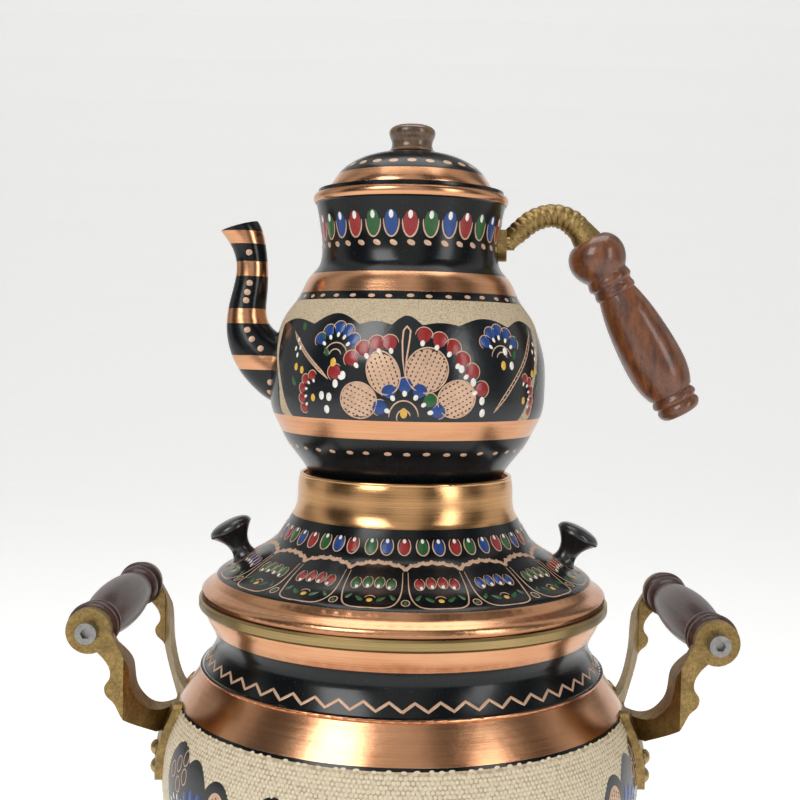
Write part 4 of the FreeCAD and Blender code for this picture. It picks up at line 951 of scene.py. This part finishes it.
COPPER_BRUSHED = brushed("brushed copper", (0.70, 0.34, 0.18), (0.38, 0.16, 0.08), 0.24)
COLLAR_COPPER = brushed("burnished collar copper", (0.84, 0.49, 0.23), (0.50, 0.25, 0.10), 0.17)
BRASS_TURNED = brushed("turned brass", (0.47, 0.345, 0.155), (0.27, 0.19, 0.08), 0.28, depth=0.02)
BRASS_CAST = cast("cast brass", (0.48, 0.335, 0.125), (0.17, 0.11, 0.045))
STEEL = brushed("steel", (0.40, 0.39, 0.37), (0.18, 0.175, 0.17), 0.36, scale=(400, 400, 400),
                depth=0.02)
IRON = cast("cast iron", (0.10, 0.095, 0.09), (0.03, 0.028, 0.026), rough=0.65)
print("metals ready")

# %% Wood and resin


def wood(name, light, dark, axis_scale, coat, rough):
    """Turned wood: rings of noise drawn out along the piece, with short dark pores."""
    finish = Finish(name, rough=rough, Coat_Weight=coat, Coat_Roughness=0.12)
    grain = finish.noise(axis_scale, detail=6, rough=0.65)
    pores = finish.noise(tuple(4.0 * v for v in axis_scale), detail=2)
    tone = finish.noise(tuple(0.25 * v for v in axis_scale), detail=2)
    colour = finish.mix(finish.ramp(grain, ((0.35, 0), (0.68, 1))), dark, light)
    colour = finish.mix(finish.ramp(tone, ((0.4, 0), (0.7, 0.45))), colour, dark)
    pore = finish.ramp(pores, ((0.60, 0), (0.68, 0.8)))
    finish.set("Base Color", finish.mix(pore, colour, tuple(0.35 * v for v in dark)))
    finish.bump(finish.math("SUBTRACT", grain, pore), 0.08)
    return finish.material


WOOD_SIDE = wood("dark turned wood", (0.085, 0.030, 0.022), (0.022, 0.008, 0.007), (320, 26, 320),
                 coat=0.25, rough=0.46)
WOOD_GRIP = wood("varnished turned wood", (0.255, 0.080, 0.020), (0.060, 0.016, 0.006), (240, 240, 60),
                 coat=0.5, rough=0.38)
WOOD_KNOB = wood("varnished knob wood", (0.19, 0.10, 0.035), (0.055, 0.025, 0.010), (300, 300, 60),
                 coat=0.6, rough=0.32)
resin = Finish("black resin", (0.012, 0.012, 0.013), rough=0.3, Coat_Weight=0.4, Coat_Roughness=0.1)
resin.bump(resin.noise((180, 180, 180), detail=3), 0.05)
RESIN = resin.material
print("wood and resin ready")

# %% Dress the CAD nodes
by_slot = {"copper": COPPER_BRUSHED, "turned_brass": BRASS_TURNED, "cast_brass": BRASS_CAST, "steel": STEEL,
           "iron": IRON, "dark_wood": WOOD_SIDE, "warm_wood": WOOD_GRIP, "bakelite": RESIN,
           "copper_rivet": BRASS_TURNED, "copper_enamel": COPPER_BRUSHED}
dress["cover_collar"] = COLLAR_COPPER
dress["lid_knob"] = WOOD_KNOB
for part in frame["record"]["subparts"]:
    mesh = nodes[part["node"]].data
    mesh.materials.clear()
    mesh.materials.append(dress.get(part["node"], by_slot[part["material_slot"]]))

# %% Paint colours


def paint(name, colour, rough=0.24, metal=0.0):
    """Hand-laid enamel: the colour darkens in soft patches, and the surface is slightly uneven."""
    finish = Finish(name, metal=metal, rough=rough)
    patches = finish.noise((420, 420, 420), detail=4)
    shade = tuple(0.45 * v for v in colour)
    mottle = finish.ramp(patches, ((0.42, 0), (0.72, 0.35)))
    finish.set("Base Color", finish.mix(mottle, colour, shade))
    finish.bump(patches, 0.06)
    return finish.material


paints = {"red": paint("red enamel", (0.28, 0.020, 0.020)),
          "green": paint("green enamel", (0.020, 0.10, 0.028)),
          "blue": paint("blue enamel", (0.014, 0.055, 0.22)),
          "white": paint("white enamel", (0.80, 0.78, 0.72)),
          "yellow": paint("yellow enamel", (0.72, 0.42, 0.05)),
          "ink": paint("dark scratches", (0.03, 0.02, 0.015)),
          "black": paint("black enamel", (0.006, 0.008, 0.010), rough=0.20),
          "engraved": paint("engraved copper", (0.62, 0.40, 0.27), rough=0.42, metal=0.25),
          "pink": paint("engraved ticks", (0.56, 0.35, 0.25), rough=0.45, metal=0.2),
          "cream": paint("cream scales", (0.70, 0.62, 0.46), rough=0.5)}
for (kind, rides), parts in sorted(paint_store.items()):
    points = np.concatenate([p for p, _ in parts])
    starts = np.cumsum([0] + [len(p) for p, _ in parts[:-1]])
    faces = np.concatenate([f + start for (_, f), start in zip(parts, starts)])
    thing = piece(rides + "_" + kind.replace(" ", "_"), points, faces, paints[kind.split()[0]], rides)
    print(thing.name, "faces:", len(faces))
rope = piece("bracket_rope", rope_points, rope_faces, BRASS_CAST, "teapot")

# %% [markdown]
# ## Floor, light and camera
# A pale floor that bends up far behind, large soft lights and a camera level with the object's upper half.
# Copper shows what it mirrors, so the lights are broad strips and the world has light and dark stripes.

# %% Floor
floor_x = np.linspace(-4, 4, 9)
bend = np.linspace(0, 1, 41)
floor_y = np.where(bend < 0.5, -3 + 10 * bend, 2 + 3.0 * np.sin(np.pi * (bend - 0.5)))
floor_z = np.where(bend < 0.5, 0, 3.0 * (1 - np.cos(np.pi * (bend - 0.5))))
floor_points = np.stack([floor_x[None] + 0 * floor_y[:, None], floor_y[:, None] + 0 * floor_x[None],
                         floor_z[:, None] + 0 * floor_x[None]], -1).reshape(-1, 3)
white_floor = Finish("pale floor", (0.88, 0.88, 0.88), rough=0.8, Emission_Strength=0.42)
white_floor.set("Emission Color", (1, 1, 1, 1))
mesh = bpy.data.meshes.new("floor")
mesh.from_pydata(floor_points.tolist(), [], [tuple(int(i) for i in f) for f in grid_faces(41, 9)])
mesh.materials.append(white_floor.material)
floor = bpy.data.objects.new("floor", mesh)
bpy.context.collection.objects.link(floor)
print("floor top at z =", float(floor_points[0, 2]))

# %% Lights
world = bpy.data.worlds.new("soft studio")
world.use_nodes = True
room = world.node_tree
room.nodes["Background"].inputs[1].default_value = 0.62
bpy.context.scene.world = world
bpy.context.scene.view_settings.view_transform = "Standard"


def room_node(kind, *values, **settings):
    """A node of the world's tree with its first inputs filled or linked."""
    node = room.nodes.new(kind)
    for key, value in settings.items():
        setattr(node, key, value)
    for i, value in enumerate(values):
        if isinstance(value, bpy.types.NodeSocket):
            room.links.new(value, node.inputs[i])
        else:
            node.inputs[i].default_value = value
    return node.outputs[0]


# Upright strips all round: 0.5 + 0.5 sin(5 a) sin(2 a + 1), with a the angle round the room.
way = room.nodes.new("ShaderNodeSeparateXYZ")
room.links.new(room_node("ShaderNodeTexCoord"), way.inputs[0])
around = room_node("ShaderNodeMath", way.outputs[1], way.outputs[0], operation="ARCTAN2")
quick = room_node("ShaderNodeMath", room_node("ShaderNodeMath", around, 5.0, operation="MULTIPLY"),
                  operation="SINE")
slow = room_node("ShaderNodeMath", room_node("ShaderNodeMath", around, 2.0, 1.0, operation="MULTIPLY_ADD"),
                 operation="SINE")
strips = room_node("ShaderNodeMath", room_node("ShaderNodeMath", quick, slow, operation="MULTIPLY"), 0.5, 0.5,
                   operation="MULTIPLY_ADD")
tones = room.nodes.new("ShaderNodeValToRGB")
tones.color_ramp.elements[0].position = 0.25
tones.color_ramp.elements[0].color = (0.10, 0.095, 0.09, 1)
tones.color_ramp.elements[1].position = 0.75
tones.color_ramp.elements[1].color = (1.0, 0.99, 0.96, 1)
room.links.new(strips, tones.inputs[0])
room.links.new(tones.outputs[0], room.nodes["Background"].inputs[0])


def strip(name, place, aim, size, power):
    """A soft rectangular light at a place, facing a point."""
    data = bpy.data.lights.new(name, "AREA")
    data.shape = "RECTANGLE"
    data.size, data.size_y = size
    data.energy = power
    lamp = bpy.data.objects.new(name, data)
    lamp.location = place
    lamp.rotation_euler = (Vector(aim) - Vector(place)).to_track_quat("-Z", "Y").to_euler()
    bpy.context.collection.objects.link(lamp)


strip("key", (-1.1, -1.5, 1.5), (0, 0, 0.35), (0.9, 1.2), 20)
strip("fill", (1.4, -1.3, 0.9), (0, 0, 0.35), (0.5, 1.4), 9)
strip("top", (0.0, 0.2, 1.9), (0, 0, 0.4), (1.4, 1.0), 11)

# %% Camera
CAMERA_PLACE = (-0.0035, -0.600, 0.4083)
LOOK_DOWN = 2.6
ROLL = 1.15
glass = bpy.data.cameras.new("camera")
glass.lens = 54
glass.sensor_width = 36
camera = bpy.data.objects.new("camera", glass)
tilt = Matrix.Rotation(math.radians(90 - LOOK_DOWN), 4, "X") @ Matrix.Rotation(math.radians(ROLL), 4, "Z")
camera.matrix_world = Matrix.Translation(CAMERA_PLACE) @ tilt
bpy.context.collection.objects.link(camera)
bpy.context.scene.camera = camera
print("camera distance:", round(camera.location.length, 3))
